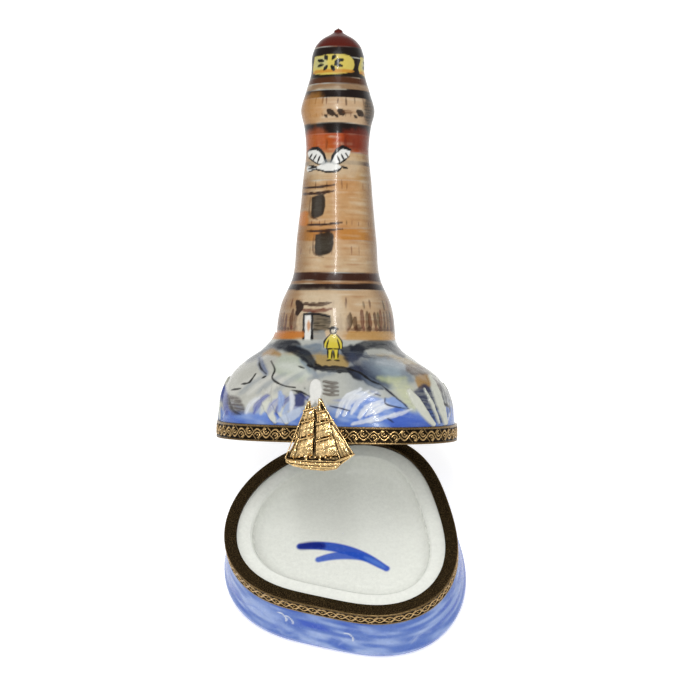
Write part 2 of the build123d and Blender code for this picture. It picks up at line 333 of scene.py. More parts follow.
class Canvas:
    """The paint on a porcelain surface: a colour and a thickness at every point of its mesh.

    Strokes are given in millimetres on one side of the piece: to the right of the tower's axis, and
    above the mouth. The dish's floor is painted from above in x and y."""

    def __init__(self, across, toward, up, ground):
        self.east, self.south, self.up = across.ravel(), toward.ravel(), up.ravel()
        self.color = np.tile(linear(ground), (len(self.up), 1))
        self.lift = np.zeros(len(self.up))
        self.level = self.up
        self.face(FRONT)

    def face(self, heading):
        """Turns the piece so that the side at this heading is painted."""
        turn = radians(heading)
        self.across = self.east * cos(turn) + self.south * sin(turn)
        self.seen = self.east * sin(turn) - self.south * cos(turn) > 0
        self.ragged = noise(self.across / 0.8 + heading, self.level / 0.8, 3) - 0.5
        self.bristle = noise(self.across / 1.4 + self.level / 2 + heading, self.level / 0.22, 5)

    def share_of_turn(self):
        return np.arctan2(self.south, self.east) / tau

    def lay(self, near, cover, color, lift=0.0):
        self.color[near] += cover[:, None] * (linear(color) - self.color[near])
        if lift:
            self.lift[near] = np.maximum(self.lift[near], cover * lift)

    def wash(self, cover, color):
        """Thin colour over the whole surface, as thick as cover says."""
        self.lay(slice(None), cover, color)

    def near(self, line, reach):
        low, high = line.min(0) - reach, line.max(0) + reach
        return np.flatnonzero(
            self.seen
            & (self.across > low[0]) & (self.across < high[0])
            & (self.level > low[1]) & (self.level < high[1])
        )

    def stroke(self, points, width, color, strength=1.0, soft=0.12, lift=0.0, dry=0.0, taper=0.6):
        """One brush stroke along a smooth line, thinner at its ends and streaky where dry."""
        line = smooth_line(points)
        near = self.near(line, width + soft)
        if len(near) == 0:
            return
        place = np.stack([self.across[near], self.level[near]], -1)
        gap = np.full(len(near), 1e3)
        along, beside, passed = np.zeros(len(near)), np.zeros(len(near)), 0.0
        for index, (start, end) in enumerate(zip(line[:-1], line[1:])):
            run = end - start
            length = max(np.hypot(*run), 1e-6)
            part = np.clip((place - start) @ run / length**2, 0, 1)
            share = (index + part) / (len(line) - 1)
            half = width / 2 * (1 - taper + taper * np.sin(pi * np.clip(share, 0.02, 0.98)) ** 0.7)
            off = place - start - part[:, None] * run
            new = np.hypot(*off.T) - half
            closer = new < gap
            gap = np.where(closer, new, gap)
            along = np.where(closer, passed + part * length, along)
            beside = np.where(closer, (off[:, 1] * run[0] - off[:, 0] * run[1]) / length, beside)
            passed += length
        gap += self.ragged[near] * min(width * 0.35, 0.3)
        cover = strength * ease(0.5 - gap / (2 * soft))
        if dry:
            hairs = noise(along / 2.5 + points[0][0], beside / 0.17 + 30, 6)
            cover *= 1 - dry * ease(2.4 * hairs - 0.6 + 0.5 * along / max(passed, 0.1))
        self.lay(near, cover, color, lift)

    def outline(self, points, width):
        """A fine dark line."""
        self.stroke(points, width, SOOT, soft=0.09)

    def patch(self, points, color, strength=1.0, soft=0.5, lift=0.0, dry=0.0):
        """A filled shape with a smooth outline and a slightly ragged edge."""
        line = smooth_line(points, closed=True)
        near = self.near(line, soft + 0.4)
        if len(near) == 0:
            return
        place = np.stack([self.across[near], self.level[near]], -1)
        gap = np.full(len(near), 1e3)
        inside = np.zeros(len(near), bool)
        for start, end in zip(line[:-1], line[1:]):
            run = end - start
            part = np.clip((place - start) @ run / max(run @ run, 1e-9), 0, 1)
            gap = np.minimum(gap, np.hypot(*(place - start - part[:, None] * run).T))
            crosses = (start[1] > place[:, 1]) != (end[1] > place[:, 1])
            rise = run[1] if abs(run[1]) > 1e-9 else 1e-9
            inside ^= crosses & (place[:, 0] < start[0] + (place[:, 1] - start[1]) * run[0] / rise)
        signed = np.where(inside, -gap, gap) + self.ragged[near] * min(soft, 0.6)
        cover = strength * ease(0.5 - signed / (2 * soft))
        if dry:
            cover *= 1 - dry * ease(2.2 * self.bristle[near] - 0.5)
        self.lay(near, cover, color, lift)

    def band(self, bottom, top, color, strength=1.0):
        """A band all the way round, with edges that waver."""
        soft, waver = 0.12, 0.35
        turn = self.share_of_turn()
        low = bottom + waver * (noise(turn * 9, self.up * 0 + 3 + bottom, 11, 9) - 0.5)
        high = top + waver * (noise(turn * 9, self.up * 0 + 3 + top, 12, 9) - 0.5)
        above, below = (self.up - low) / (2 * soft), (high - self.up) / (2 * soft)
        self.wash(strength * ease(0.5 + above) * ease(0.5 + below), color)


def fired(colors, strength, depth):
    """Paint colours as they come out of the kiln: all a little darker, strong ones deeper too."""
    return strength * np.clip(colors, 0, 1) ** depth


def around(x, y, *offsets):
    """Points at these offsets from a place."""
    return [(x + across, y + up) for across, up in offsets]


def block(left, right, bottom, top):
    """The corners of an upright rectangle."""
    return (left, top), (right, top), (right, bottom), (left, bottom)


def mirrored(side, points):
    """The same points on the right side, 1, or on the left, -1."""
    return [(side * across, up) for across, up in points]


# Paint colours, as they look on screen.
DOME_RED = (108, 32, 10)
DARK = (34, 17, 11)
SOOT = (22, 20, 22)
UMBER = (58, 28, 18)
BROWN = (92, 50, 30)
CREAM = (214, 186, 150)
OCHRE = (203, 150, 84)
ORANGE = (212, 136, 58)
RUST = (186, 84, 28)
TAUPE = (166, 138, 108)
YELLOW = (226, 208, 112)
OILSKIN = (232, 214, 84)
WHITE = (246, 246, 242)
STONE = (200, 202, 196)
MOSS = (188, 196, 178)
NAVY = (34, 40, 56)
SLATE = (120, 134, 150)
SEA = (124, 156, 224)
LIGHT_SEA = (170, 192, 236)
DEEP_SEA = (80, 114, 208)
LAVENDER = (150, 158, 208)
EARTH = (84, 66, 56)
SAND = (190, 164, 108)
PETAL = (226, 228, 216)
FOAM = (240, 244, 250)

# Bands round the tower from the tip down: bottom, top and colour.
TOWER_BANDS = (
    (93.5, 99.5, DOME_RED), (91.0, 93.5, DARK), (86.0, 91.0, (40, 29, 17)), (84.5, 86.0, (98, 58, 28)),
    (83.0, 84.5, TAUPE), (81.0, 83.0, DARK), (75.0, 81.0, (214, 184, 150)), (72.5, 75.0, DARK),
    (68.0, 72.5, RUST), (61.5, 68.0, (200, 164, 114)), (50.0, 61.5, (212, 176, 132)),
    (47.0, 50.0, OCHRE), (39.5, 47.0, CREAM), (37.5, 39.5, (74, 40, 22)), (36.8, 37.5, (168, 128, 90)),
    (35.3, 36.8, (50, 26, 15)), (25.5, 35.3, (212, 182, 146)), (23.5, 25.5, OCHRE),
)


def paint_dashes(canvas, rng, bottom, top, count, width=0.28, color=BROWN):
    """Upright brick marks in a row all the way round."""
    for index in range(count):
        canvas.face(FRONT + 360 * (index + rng.uniform(-0.35, 0.35)) / count)
        foot = bottom + rng.uniform(0, 0.25) * (top - bottom)
        head = top - rng.uniform(0, 0.35) * (top - bottom)
        shade = tuple(rng.uniform(0.7, 1.3) * part for part in color)
        line = ((0, head), (rng.uniform(-0.15, 0.15), foot))
        canvas.stroke(line, width * rng.uniform(0.7, 1.4), shade, rng.uniform(0.6, 0.95), dry=0.3)


def paint_window(canvas, x, top, half):
    """A dark leaded window half as wide as given, under a lintel of two brush strokes."""
    stroke, patch = canvas.stroke, canvas.patch
    pane = around(x, top, (-half, 0), (half, 0.4), (half, -3.8), (0, -5), (-half, -4.6))
    patch(pane, (44, 36, 28), 0.95, 0.2)
    glass = around(x, top, (0.6 - half, -0.6), (half - 0.6, -0.4), (half - 0.6, -3.4), (0.6 - half, -4))
    patch(glass, (96, 92, 80), 0.4, 0.3, dry=0.6)
    reveal = around(x, top, (-half - 0.3, 0), (-half - 0.4, -4.2), (0, -5.5))
    stroke(reveal, 0.5, (92, 58, 30), 0.7, dry=0.3)
    for rise, width in ((0.9, 0.75), (2.4, 0.6)):
        lintel = around(x, top, (-half - 2, rise), (0, rise - 0.1), (half + 2.4, rise + 0.4))
        stroke(lintel, width, UMBER, 0.95)


def paint_lantern(canvas, heading):
    """One lit pane of the lantern, with dark rays round the lamp."""
    stroke, patch = canvas.stroke, canvas.patch
    canvas.face(heading)
    patch(block(-4.3, 4.3, 87.2, 91.3), YELLOW, 1, 0.12)
    patch(block(-4, -1, 88.6, 91), (206, 204, 150), 0.8, 0.5)
    patch(block(-4.3, 4.3, 87.2, 88), (214, 156, 66), 0.9, 0.12)
    for index in range(8):
        way = radians(45 * index + 20)
        ray = [(1.1 * reach * cos(way), 89.5 + 0.6 * reach * sin(way)) for reach in (1.6, 2.9)]
        stroke(ray, 0.95, (24, 28, 20), taper=0.4)


def paint_gull(canvas, x, y):
    """A plain gliding gull: two raised wings alike, a spindle of a body, a fan tail and a short bill."""
    stroke, patch = canvas.stroke, canvas.patch
    for side in (-1, 1):
        wing = ((0.3, 0.8), (1.5, 3.2), (3.2, 4.6), (5, 4.2), (4.6, 2.4), (2.6, 1))
        patch(around(x, y, *mirrored(side, wing)), WHITE, 1, 0.15)
        edge = ((0.5, 1.2), (1.5, 3.4), (3.2, 4.8), (5.1, 4.2))
        canvas.outline(around(x, y, *mirrored(side, edge)), 0.8)
        trailing = mirrored(side, ((4.9, 2.6), (2.6, 0.9), (0.6, 0.6)))
        canvas.outline(around(x, y, *trailing), 0.4)
        for index in range(3):
            feather = mirrored(side, ((2 + index, 2.8 + 0.3 * index), (2 + index + 0.7, 1.2 + 0.6 * index)))
            canvas.outline(around(x, y, *feather), 0.4)
    patch(around(x, y, (-3, 0.1), (-1, 1), (1.5, 0.9), (3, 0), (1.5, -0.9), (-1, -0.9)), WHITE, 1, 0.15)
    stroke(around(x, y, (-1.4, 0.9), (0, 1.6), (1.4, 0.9)), 0.9, (150, 156, 158), 0.8, 0.3, dry=0.4)
    patch(around(x, y, (-2.6, 0.4), (-5, 0.6), (-5, -0.8), (-2.6, -0.4)), WHITE, 1, 0.15)
    for up in (-0.9, -0.1, 0.7):
        canvas.outline(around(x, y, (-5, up), (-2.8, 0.3 * up)), 0.4)
    canvas.outline(around(x, y, (-3, -0.5), (0, -1.1), (2.2, -0.8), (3.2, 0)), 0.55)
    canvas.outline(around(x, y, (3, 0.2), (4.4, -0.2)), 0.6)


def paint_door(canvas):
    """The doorway at the tower's foot: a white jamb, a dark opening and two strokes of lintel."""
    stroke, patch = canvas.stroke, canvas.patch
    patch(((-8, 35), (1, 34), (2, 23.5), (-9, 23.5)), (224, 206, 178), 0.75, 1.2)
    for y, color in ((32, (66, 30, 18)), (30.5, (122, 62, 42))):
        stroke(((-8, y), (-4.5, y - 0.2), (-1, y + 0.3)), 0.95, color, 0.95, dry=0.2)
    stroke(((-9, 32.5), (-8.5, 31.5), (-9, 29.5)), 1.8, (48, 22, 14), 0.95)
    opening = ((-5.5, 29.5), (-2, 29.5), (-1, 27.5), (-2.5, 25.5), (-5.5, 25.5))
    patch(opening, (66, 58, 42), 0.95, 0.2, dry=0.3)
    patch(block(-5.5, -2.5, 22.5, 25.5), (168, 170, 168), 0.9, 0.3, dry=0.2)
    patch(block(-7.5, -5.5, 23, 29.5), WHITE, 0.95, 0.15)
    stroke(((-6.3, 28), (-6.3, 25.5)), 0.8, (214, 148, 84), 0.8, 0.3)
    for x in (-7.5, -5.5):
        stroke(((x, 22.5), (x, 26), (x, 29.5)), 0.6, SOOT, taper=0.2)
    stroke(((-7.5, 29.5), (-4.5, 29.6), (-1.5, 29)), 0.6, SOOT, taper=0.2)
    stroke(((-8.5, 22.5), (-5.5, 22.4)), 0.5, SOOT)


def paint_keeper(canvas, x, foot):
    """A small plain figure standing in oilskins, the same on both sides and with no face."""
    stroke, patch = canvas.stroke, canvas.patch
    def spot(*offsets):
        return around(x, foot, *((0.82 * across, 0.9 * up) for across, up in offsets))

    patch(spot((-0.9, 6.6), (0.9, 6.6), (1.7, 3), (-1.7, 3)), OILSKIN, 1, 0.15)
    for side in (-1, 1):
        stroke(spot((0.7 * side, 3.4), (0.9 * side, 0.6)), 1.2, OILSKIN, taper=0.2)
        stroke(spot((1.1 * side, 6), (2.1 * side, 4.6), (2.2 * side, 3.4)), 0.9, OILSKIN)
        for line in (
            ((0.8, 6.8), (2.4, 5), (2.7, 3.2)), ((1.2, 5.4), (1.7, 4), (1.8, 3)), ((1.5, 2.9), (1.4, 0.6)),
            ((0.2, 2.6), (0.4, 0.6)), ((0.5, 0.1), (1.8, 0)), ((0, 3), (1.8, 2.9)),
        ):
            stroke(spot(*mirrored(side, line)), 0.38, SOOT, 0.97, soft=0.09)
    head = [(0.85 * cos(turn), 7.6 + 0.8 * sin(turn)) for turn in np.linspace(0, tau, 8, endpoint=False)]
    patch(spot(*head), (228, 220, 204), 1, 0.1)
    stroke(spot(*head, head[0]), 0.32, SOOT, soft=0.09, taper=0)
    canvas.outline(spot((-1.4, 8), (0, 8.5), (1.4, 8)), 0.6)


def paint_washes(canvas):
    """The uneven bands of thin colour that let the white porcelain through, and painted shade darkening both
    flanks of the tower's front.
    """
    turn = canvas.share_of_turn()
    light = canvas.color.mean(1) > 0.12
    streak = 0.6 * noise(turn * 12, canvas.up / 0.38, 21, 12)
    streak += 0.4 * noise(turn * 30, canvas.up / 0.9, 22, 30)
    canvas.wash(0.50 * light * ease(2.4 * streak - 1.2), (242, 230, 206))
    canvas.wash(0.45 * light * ease(1.1 - 2.4 * streak), (172, 116, 66))
    patchy = noise(turn * 5, canvas.up / 5.5, 23, 5)
    body = (canvas.up > 26) & (canvas.up < 72) & light
    canvas.wash(0.5 * body * ease(2.2 * patchy - 1.2), (204, 136, 56))
    # Painted shade: the left and right flanks of the front are darkened, the right one more, where the light
    # falls off towards the tower's edges.
    canvas.face(FRONT)
    side = canvas.across / np.hypot(canvas.east, canvas.south)
    shaded_shaft = (canvas.up > 25) * (canvas.up < 82) * light * canvas.seen
    canvas.wash(0.65 * shaded_shaft * ease((-side - 0.5) / 0.4), (150, 112, 72))
    canvas.wash(0.60 * shaded_shaft * ease((side - 0.6) / 0.35), (116, 88, 60))


def paint_gallery(canvas):
    """The dark openings along the gallery's foot, on its front, and painted shade down the gallery's right
    edge.
    """
    stroke, patch = canvas.stroke, canvas.patch
    for index, x in enumerate((-2, 0.5, 5)):
        stroke(((x, 77.8), (x + 0.8, 77.1)), 1.5, (40, 22, 16), 0.92, taper=0.3)
        stroke(((x - 1, 76.8), (x - 0.4, 76.4)), 0.7, (40, 22, 16), 0.9)
    stroke(((1.5, 77.5), (3.5, 77.5)), 1.2, (110, 70, 40), 0.7, dry=0.5)
    patch(block(-8.5, -4, 76, 82), (200, 144, 70), 0.6, 0.9)
    # Painted shade: a dark patch down the gallery's right edge, where the light falls off.
    patch(block(6.5, 9, 76, 82), (48, 40, 32), 0.9, 0.5, dry=0.3)
    patch(block(-8.5, -3, 69, 73.5), (196, 100, 32), 0.6, 0.8)
    patch(((1.5, 73.5), (7.5, 73.5), (7.5, 69), (2, 69)), (132, 46, 16), 0.75, 0.8)


def paint_tower(canvas):
    """Everything painted on the tower, all the way round."""
    stroke, patch = canvas.stroke, canvas.patch
    rng = np.random.default_rng(7)
    for bottom, top, color in TOWER_BANDS:
        canvas.band(bottom, top, color)
    paint_washes(canvas)
    canvas.band(65.2, 66.2, (66, 34, 20), 0.85)
    for bottom, top, count, width in (
        (79, 81.5, 26, 0.32), (76.5, 77.5, 30, 0.26), (50.5, 52, 28, 0.26), (43.5, 46, 20, 0.24),
        (59, 61.5, 16, 0.22), (25.5, 30.5, 70, 1.1), (25.5, 27, 60, 1.2), (30.5, 33.5, 26, 0.5),
    ):
        paint_dashes(canvas, rng, bottom, top, count, width)
    paint_dashes(canvas, rng, 69, 71.5, 24, 0.5, (126, 52, 20))
    for index in range(3):
        paint_lantern(canvas, FRONT - 19 + 120 * index)
    canvas.face(FRONT)
    paint_gallery(canvas)
    patch(block(-7, 4.5, 62.5, 67.5), (222, 204, 176), 0.7, 1.6)
    paint_gull(canvas, -2, 64.5)
    paint_window(canvas, -4.5, 57.5, 1.5)
    paint_window(canvas, -3, 48.5, 2)
    patch(block(-9, -7, 51, 54), ORANGE, 0.8, 0.35)
    paint_door(canvas)
    patch(block(-14.5, -8, 24, 25.5), ORANGE, 0.9, 0.3)
    patch(block(3, 13, 23, 25.5), (210, 170, 112), 0.85, 0.35)
    for left, right in ((-14, -10), (3, 13)):
        stroke(((left, 26), (right, 26)), 0.8, BROWN, 0.85, dry=0.6)
    canvas.face(FRONT + 180)
    paint_window(canvas, 0, 66, 1.6)
    paint_window(canvas, 0, 48.5, 1.8)
    canvas.face(FRONT)


def paint_sea(canvas):
    """The sea round the foot of the rocks, and a wash of rock above it."""
    turn = canvas.share_of_turn()
    swell = 7.4 + 1.6 * (noise(turn * 9, canvas.up * 0, 31, 9) - 0.5)
    swell += 0.8 * (noise(turn * 30, canvas.up / 2, 32, 30) - 0.5)
    canvas.face(FRONT)
    swell += 3.4 * ease(1 - np.abs(canvas.across - 8) / 11) * canvas.seen
    canvas.wash(ease(0.5 + (swell - canvas.up) / 1.2), SEA)
    streak = noise(turn * 60 + canvas.up / 2.4, canvas.up / 0.9, 33, 60)
    wet = ease(0.5 + (swell + 1.5 - canvas.up) / 2)
    canvas.wash(0.65 * wet * ease(2.4 * streak - 1.1), LIGHT_SEA)
    canvas.wash(0.60 * wet * ease(1.1 - 2.6 * streak), (84, 122, 216))
    dry = 1 - wet
    blotch = noise(turn * 16, canvas.up / 3.2, 34, 16)
    canvas.wash(0.50 * dry * ease(2.4 * blotch - 1.2), (156, 164, 172))
    canvas.wash(0.40 * dry * ease(1.0 - 2.4 * blotch), (222, 218, 204))


def paint_shore(canvas, heading, seed):
    """Loose rocks, cracks, breaking waves and leaves of foam for a side that the picture doesn't show."""
    stroke, patch = canvas.stroke, canvas.patch
    rng = np.random.default_rng(seed)
    canvas.face(heading)
    for color in (STONE, MOSS, NAVY, SLATE, SAND, EARTH, PETAL):
        x, y = rng.uniform(-17, 17), rng.uniform(10, 21)
        w, t = rng.uniform(2.5, 5), rng.uniform(1.2, 2.8)
        rock = around(x, y, (-w, 0), (-w / 2, t), (w / 2, 0.8 * t), (w, -t / 2), (0, -t))
        patch(rock, color, 0.8, 0.7, dry=0.35)
    for index in range(8):
        line = [(rng.uniform(-18, 16), rng.uniform(9, 20))]
        for step in range(3):
            line += around(*line[-1], (rng.uniform(0.6, 2.2), -rng.uniform(0.2, 1.8)))
        stroke(line, rng.uniform(0.3, 0.7), SOOT, 0.9)
    for index in range(7):
        x, y, w = rng.uniform(-18, 14), rng.uniform(4.5, 9), rng.uniform(2, 5)
        wave = around(x, y, (0, 0), (w / 2, w / 2), (w, 0.75 * w))
        stroke(wave, rng.uniform(0.6, 1.2), FOAM, 0.85, 0.3, dry=0.3, lift=0.12)
    for index in range(3):
        leaf = around(rng.uniform(-14, 14), 4.5, (0, 7.5 + index), (1.6, 4.5), (4, 0))
        stroke(leaf, 1.7, PETAL, 0.95, 0.15, lift=0.45)


def paint_left_rocks(canvas):
    """The pale rock on the left of the front, its brushed light and its cracks."""
    stroke, patch = canvas.stroke, canvas.patch
    patch(
        ((-27, 12), (-22, 18), (-14, 20.5), (-5, 17.5), (-4.5, 13.5), (-10, 11.5), (-16, 9), (-22, 8)),
        (212, 212, 204), 0.95, 0.6,
    )
    patch(((-13, 20), (-7, 20), (-5, 17), (-8, 14), (-14, 16)), (200, 208, 192), 0.9, 0.9)
    stroke(((-21, 18.5), (-17, 21), (-12, 22)), 2.4, (104, 112, 124), 0.85, 0.6, dry=0.2)
    stroke(((-13, 17.5), (-9, 17), (-6, 15.5)), 2.4, (226, 230, 222), 0.8, 1.0)
    stroke(((-8, 19), (-6, 17), (-4, 15)), 1.6, (120, 140, 168), 0.7, 0.7, dry=0.3)
    stroke(((-17, 20), (-15, 20.6), (-13, 20)), 1.4, (188, 150, 92), 0.9, 0.5)
    stroke(((-18, 19), (-17, 17), (-16, 15.5)), 1.8, (92, 112, 156), 0.8, 0.4, dry=0.3)
    for index in range(6):
        x, y = -24.5 + 2.2 * index, 10.5 + 0.2 * index
        shade = (230, 230, 224) if index % 2 == 0 else (178, 184, 188)
        stroke(around(x, y, (0, 0), (3, 2.5), (6.5, 4.5)), 1.3, shade, 0.75, 0.5, dry=0.35)
    for crack in (
        ((-18, 19), (-17.5, 17), (-16, 15.5)),
        ((-15, 18.5), (-14, 16.5), (-14.5, 14.5), (-12, 13), (-9, 12.5)),
        ((-22, 13), (-20, 13.5), (-18.5, 15.5)), ((-24.5, 11.5), (-22, 12)),
        ((-17, 14.5), (-16, 15)), ((-10, 12), (-7.5, 11.5), (-5.5, 10.5)),
    ):
        stroke(crack, 0.45, SOOT, 0.95)


def paint_left_waves(canvas):
    """Waves and reflections under the left rocks."""
    stroke, patch = canvas.stroke, canvas.patch
    stroke(((-27, 12.5), (-26, 9), (-25.5, 6)), 2.0, (46, 72, 168), 0.85, 0.4)
    patch(((-26, 9), (-24, 6), (-21, 6.5), (-22, 9.5), (-25, 10.5)), (78, 62, 62), 0.85, 0.5, dry=0.4)
    stroke(((-25, 9.5), (-24, 7), (-22, 6)), 0.7, (30, 26, 32), 0.9, dry=0.3)
    reflections = (FOAM, (88, 104, 188), PETAL, LAVENDER, (66, 88, 176), LIGHT_SEA, LAVENDER)
    for index, color in enumerate(reflections):
        start = (-20.5 + 1.8 * index, 6.5)
        stroke(around(*start, (0, 0), (1, 2), (3.5, 4)), 1.3, color, 0.85, 0.35, dry=0.35)
    patch(block(-9.5, -7, 8.5, 11), (58, 66, 120), 0.9, 0.35)
    for x, color in ((-12.5, LIGHT_SEA), (-10, FOAM)):
        stroke(((x, 11.5), (x + 0.3, 9.5), (x, 7)), 1.2, color, 0.85, 0.3)
    patch(((-14, 4.5), (-11, 6.5), (-8, 8), (-8, 6), (-11, 4.5)), (204, 216, 236), 0.9, 0.2)


def paint_path(canvas):
    """Dark boulders at the foot of the door and the footpath between them."""
    stroke, patch = canvas.stroke, canvas.patch
    patch(((-15.5, 22), (-13, 24), (-9, 23.5), (-8, 21.5), (-11, 20.5)), (42, 46, 58), 0.95, 0.45, dry=0.15)
    patch(((-9, 22), (-6, 22.5), (-3, 22.5), (-4, 20.5), (-8, 20)), (128, 142, 156), 0.9, 0.4, dry=0.2)
    patch(((-4.5, 20), (2, 20), (3, 17.5), (-1, 17), (-4.5, 17.5)), SAND, 0.95, 0.35)
    stroke(((-11, 21.5), (-8, 20.5), (-6, 19), (-4.5, 17)), 2.5, (22, 28, 44), 0.97, 0.3, dry=0.1)
    stroke(((-4.5, 17), (0, 16.8), (4, 16.5)), 1.6, (26, 30, 42), 0.97, dry=0.1)
    patch(((2.5, 17), (5, 17.8), (7, 16.5), (7, 14.5), (4.5, 14.8)), (22, 28, 44), 0.95, 0.3)
    stroke(((6, 15.5), (7.5, 14), (10, 13), (11, 12.5)), 0.9, (26, 30, 42), 0.95)
    patch(((1, 21.5), (4, 22.5), (6.5, 22), (6, 19.5), (3, 18.5)), (34, 42, 60), 0.95, 0.4, dry=0.15)
    stroke(((4, 21.5), (8, 22.5), (12, 22.5), (16, 20)), 2.4, (28, 34, 50), 0.95, 0.3, dry=0.2)
    stroke(((6, 20), (9, 19.5), (13, 19.5)), 1.2, (56, 66, 88), 0.8, dry=0.5)
    for x in (-8.5, -6.5, -4.5):
        stroke(((x, 18.5 + 0.5 * x / 4), (x + 1.4, 18 + 0.5 * x / 4)), 0.5, SOOT, 0.9)
    stroke(((-6, 14.5), (-3, 15.5), (0, 16)), 1.2, (156, 164, 172), 0.7, 0.5)


def paint_right_shore(canvas):
    """Grey rocks, leaning grasses and bright breaking waves on the right of the front."""
    stroke, patch = canvas.stroke, canvas.patch
    patch(((6, 19), (12, 19.5), (16, 18), (18, 14), (12, 12.5), (7, 14)), (150, 162, 174), 0.9, 0.7)
    patch(((8, 17.5), (14, 18), (15, 15), (9, 14.5)), (176, 194, 204), 0.7, 0.8, dry=0.3)
    stroke(((4, 19.5), (7, 16.5), (11, 14.5)), 4.5, (74, 88, 116), 0.75, 1.0, dry=0.3)
    stroke(((5, 18), (8, 15.5), (12, 13.5)), 2.0, (44, 54, 78), 0.8, 0.8, dry=0.4)
    stroke(((10, 18.5), (14, 18), (17, 17)), 1.6, (216, 224, 230), 0.7, 0.7, dry=0.4)
    stroke(((10, 15), (13, 14.5), (16, 15)), 1.5, (196, 204, 166), 0.8, 0.6)
    stroke(((3, 17), (6, 16), (8, 14.5), (10.5, 13.5)), 0.5, SOOT, 0.95)
    stroke(((10.5, 13.5), (13, 11.5), (16.5, 8.5)), 0.4, (30, 30, 40), 0.95)
    grasses = ((12.5, 14.5), (16.5, 14.5), (18, 11), (19, 8), (17, 7.5), (14.5, 11))
    patch(grasses, (214, 218, 188), 0.95, 1.1, dry=0.2)
    patch(((16.5, 18), (20.5, 17.5), (22, 15.5), (17, 16)), (96, 72, 54), 0.9, 0.4, dry=0.3)
    patch(((18.5, 15.5), (22, 15.5), (22, 13), (19, 13)), (190, 154, 98), 0.9, 0.4)
    shade = ((18, 12), (21, 13.5), (23.5, 10), (25, 5), (22.5, 5.5), (20, 8.5))
    patch(shade, (44, 54, 92), 0.9, 0.4, dry=0.3)
    for index in range(4):
        x = 24.2 + 0.7 * index
        stroke(((x, 15 - index), (x + 1, 10), (x + 1.4, 6)), 0.5, (40, 44, 62), 0.8, dry=0.3)
    for index in range(4):
        y = 14 - 0.9 * index
        stroke(((-2.5, y), (-1, y - 0.2), (0.8, y - 0.3)), 0.85, EARTH, 0.85, dry=0.3)
    patch(((14, 8), (18, 7), (22, 4.5), (22, 3.5), (13, 3.5)), DEEP_SEA, 0.85, 0.8, dry=0.2)
    for index in range(6):
        x, y = 0.5 + 1.7 * index, 6 + 0.5 * (index % 3)
        rise = 6.5 - 0.9 * index
        wave = around(x, y, (0, 0), (2, 0.65 * rise), (5.5, rise))
        stroke(wave, 1.25, FOAM, 0.95, 0.25, dry=0.25, lift=0.14)
    for x, y in ((4, 4.5), (7.5, 5), (11.5, 6)):
        stroke(around(x, y, (0, 0), (3, 0.8), (6, 2)), 0.9, FOAM, 0.9, 0.25, dry=0.3, lift=0.14)
    patch(((11.5, 10.5), (14, 10.5), (17, 8), (12.5, 9)), (150, 178, 232), 0.85, 0.25)
    for line in (
        ((11.5, 10.5), (12, 9), (17, 8)), ((14, 10.5), (15.5, 9.5), (17, 8)), ((9, 11.5), (10.5, 11)),
        ((11.5, 12.5), (13.5, 11)), ((12, 6), (13.5, 5)), ((-1, 8.5), (1.5, 8), (3.5, 7.5)),
    ):
        stroke(line, 0.35, (36, 40, 70), 0.9)


def paint_enamel(canvas):
    """Thick drops and leaves of white enamel that stand off the surface."""
    stroke, patch = canvas.stroke, canvas.patch
    drop = [(-4.2 + 1.6 * cos(turn), 12 + 2.5 * sin(turn)) for turn in np.linspace(0, tau, 8, endpoint=False)]
    patch(drop, WHITE, 1, 0.2, 0.6)
    for side in (-1, 1):
        splash = mirrored(side, ((0.2, 0), (1, -1.2), (2, -2.6)))
        stroke(around(-4.2, 10.5, *splash), 1.6, WHITE, 1, 0.18, 0.45)
    for leaf, width in (
        (((17, 12), (19, 9), (22.5, 4.5)), 2.0), (((22, 15), (24, 9.5), (25.5, 4.5)), 1.8),
        (((20.5, 12.5), (22, 9.5), (24, 4.5)), 0.7),
    ):
        stroke(leaf, width, PETAL, 1, 0.15, 0.5)


def paint_skirt(canvas):
    """Everything painted on the rocky skirt, all the way round."""
    canvas.band(23.6, 27.0, OCHRE)
    paint_sea(canvas)
    for index in range(5):
        paint_shore(canvas, FRONT + 75 + 55 * index, 40 + index)
    canvas.face(FRONT)
    paint_left_rocks(canvas)
    paint_left_waves(canvas)
    paint_path(canvas)
    paint_right_shore(canvas)
    paint_enamel(canvas)


def paint_lid(canvas):
    paint_tower(canvas)
    below = np.flatnonzero(canvas.up < 23.7)
    rocks = Canvas(canvas.east[below], canvas.south[below], canvas.up[below], STONE)
    paint_skirt(rocks)
    share = ease((24.0 - canvas.up[below]) / 0.9)
    canvas.color[below] += share[:, None] * (rocks.color - canvas.color[below])
    canvas.lift[below] = rocks.lift * share
    canvas.face(FRONT)
    paint_keeper(canvas, -0.5, 18.8)


# ---------------------------------------------------------------- lid porcelain

FOOT_RADIUS = 14.4
SHOULDER_INSET = 3.1
# Where the painted skirt ends, inside the foot of the tower.
SKIRT_TOP = 25.2
# The rocky skirt from its foot up: height, inset, roundness and lean, as its CAD sections have them.
SKIRT_STAGES = (
    (BAND_HEIGHT, 0.6, 0, 0), (7.0, 1.0, 0, 0), (10.5, 1.7, 0, 0.2),
    (13.6, SHOULDER_INSET, 0, 0.5), (15.96, SHOULDER_INSET, 0.18, 0.8),
    (18.56, SHOULDER_INSET, 0.48, 1), (21.04, SHOULDER_INSET, 0.78, 1),
    (23.64, SHOULDER_INSET, 0.95, 0.5), (26.0, SHOULDER_INSET, 1, 0),
)

# The tower's outline from its foot up to the pointed knob, after its CAD sizes: height and radius.
TOWER_PROFILE = (
    (22.0, 14.3), (25.0, 14.3), (32.0, 13.3), (38.4, 10.6), (47.0, 9.7), (60.0, 8.4),
    (70.5, 7.6), (75.0, 8.1), (78.6, 8.9), (83.0, 7.8), (87.5, 6.5), (92.6, 6.05),
    (94.6, 5.2), (96.2, 3.6), (97.1, 2.0), (97.6, 1.2), (98.2, 0.9), (98.7, 0.05),
)


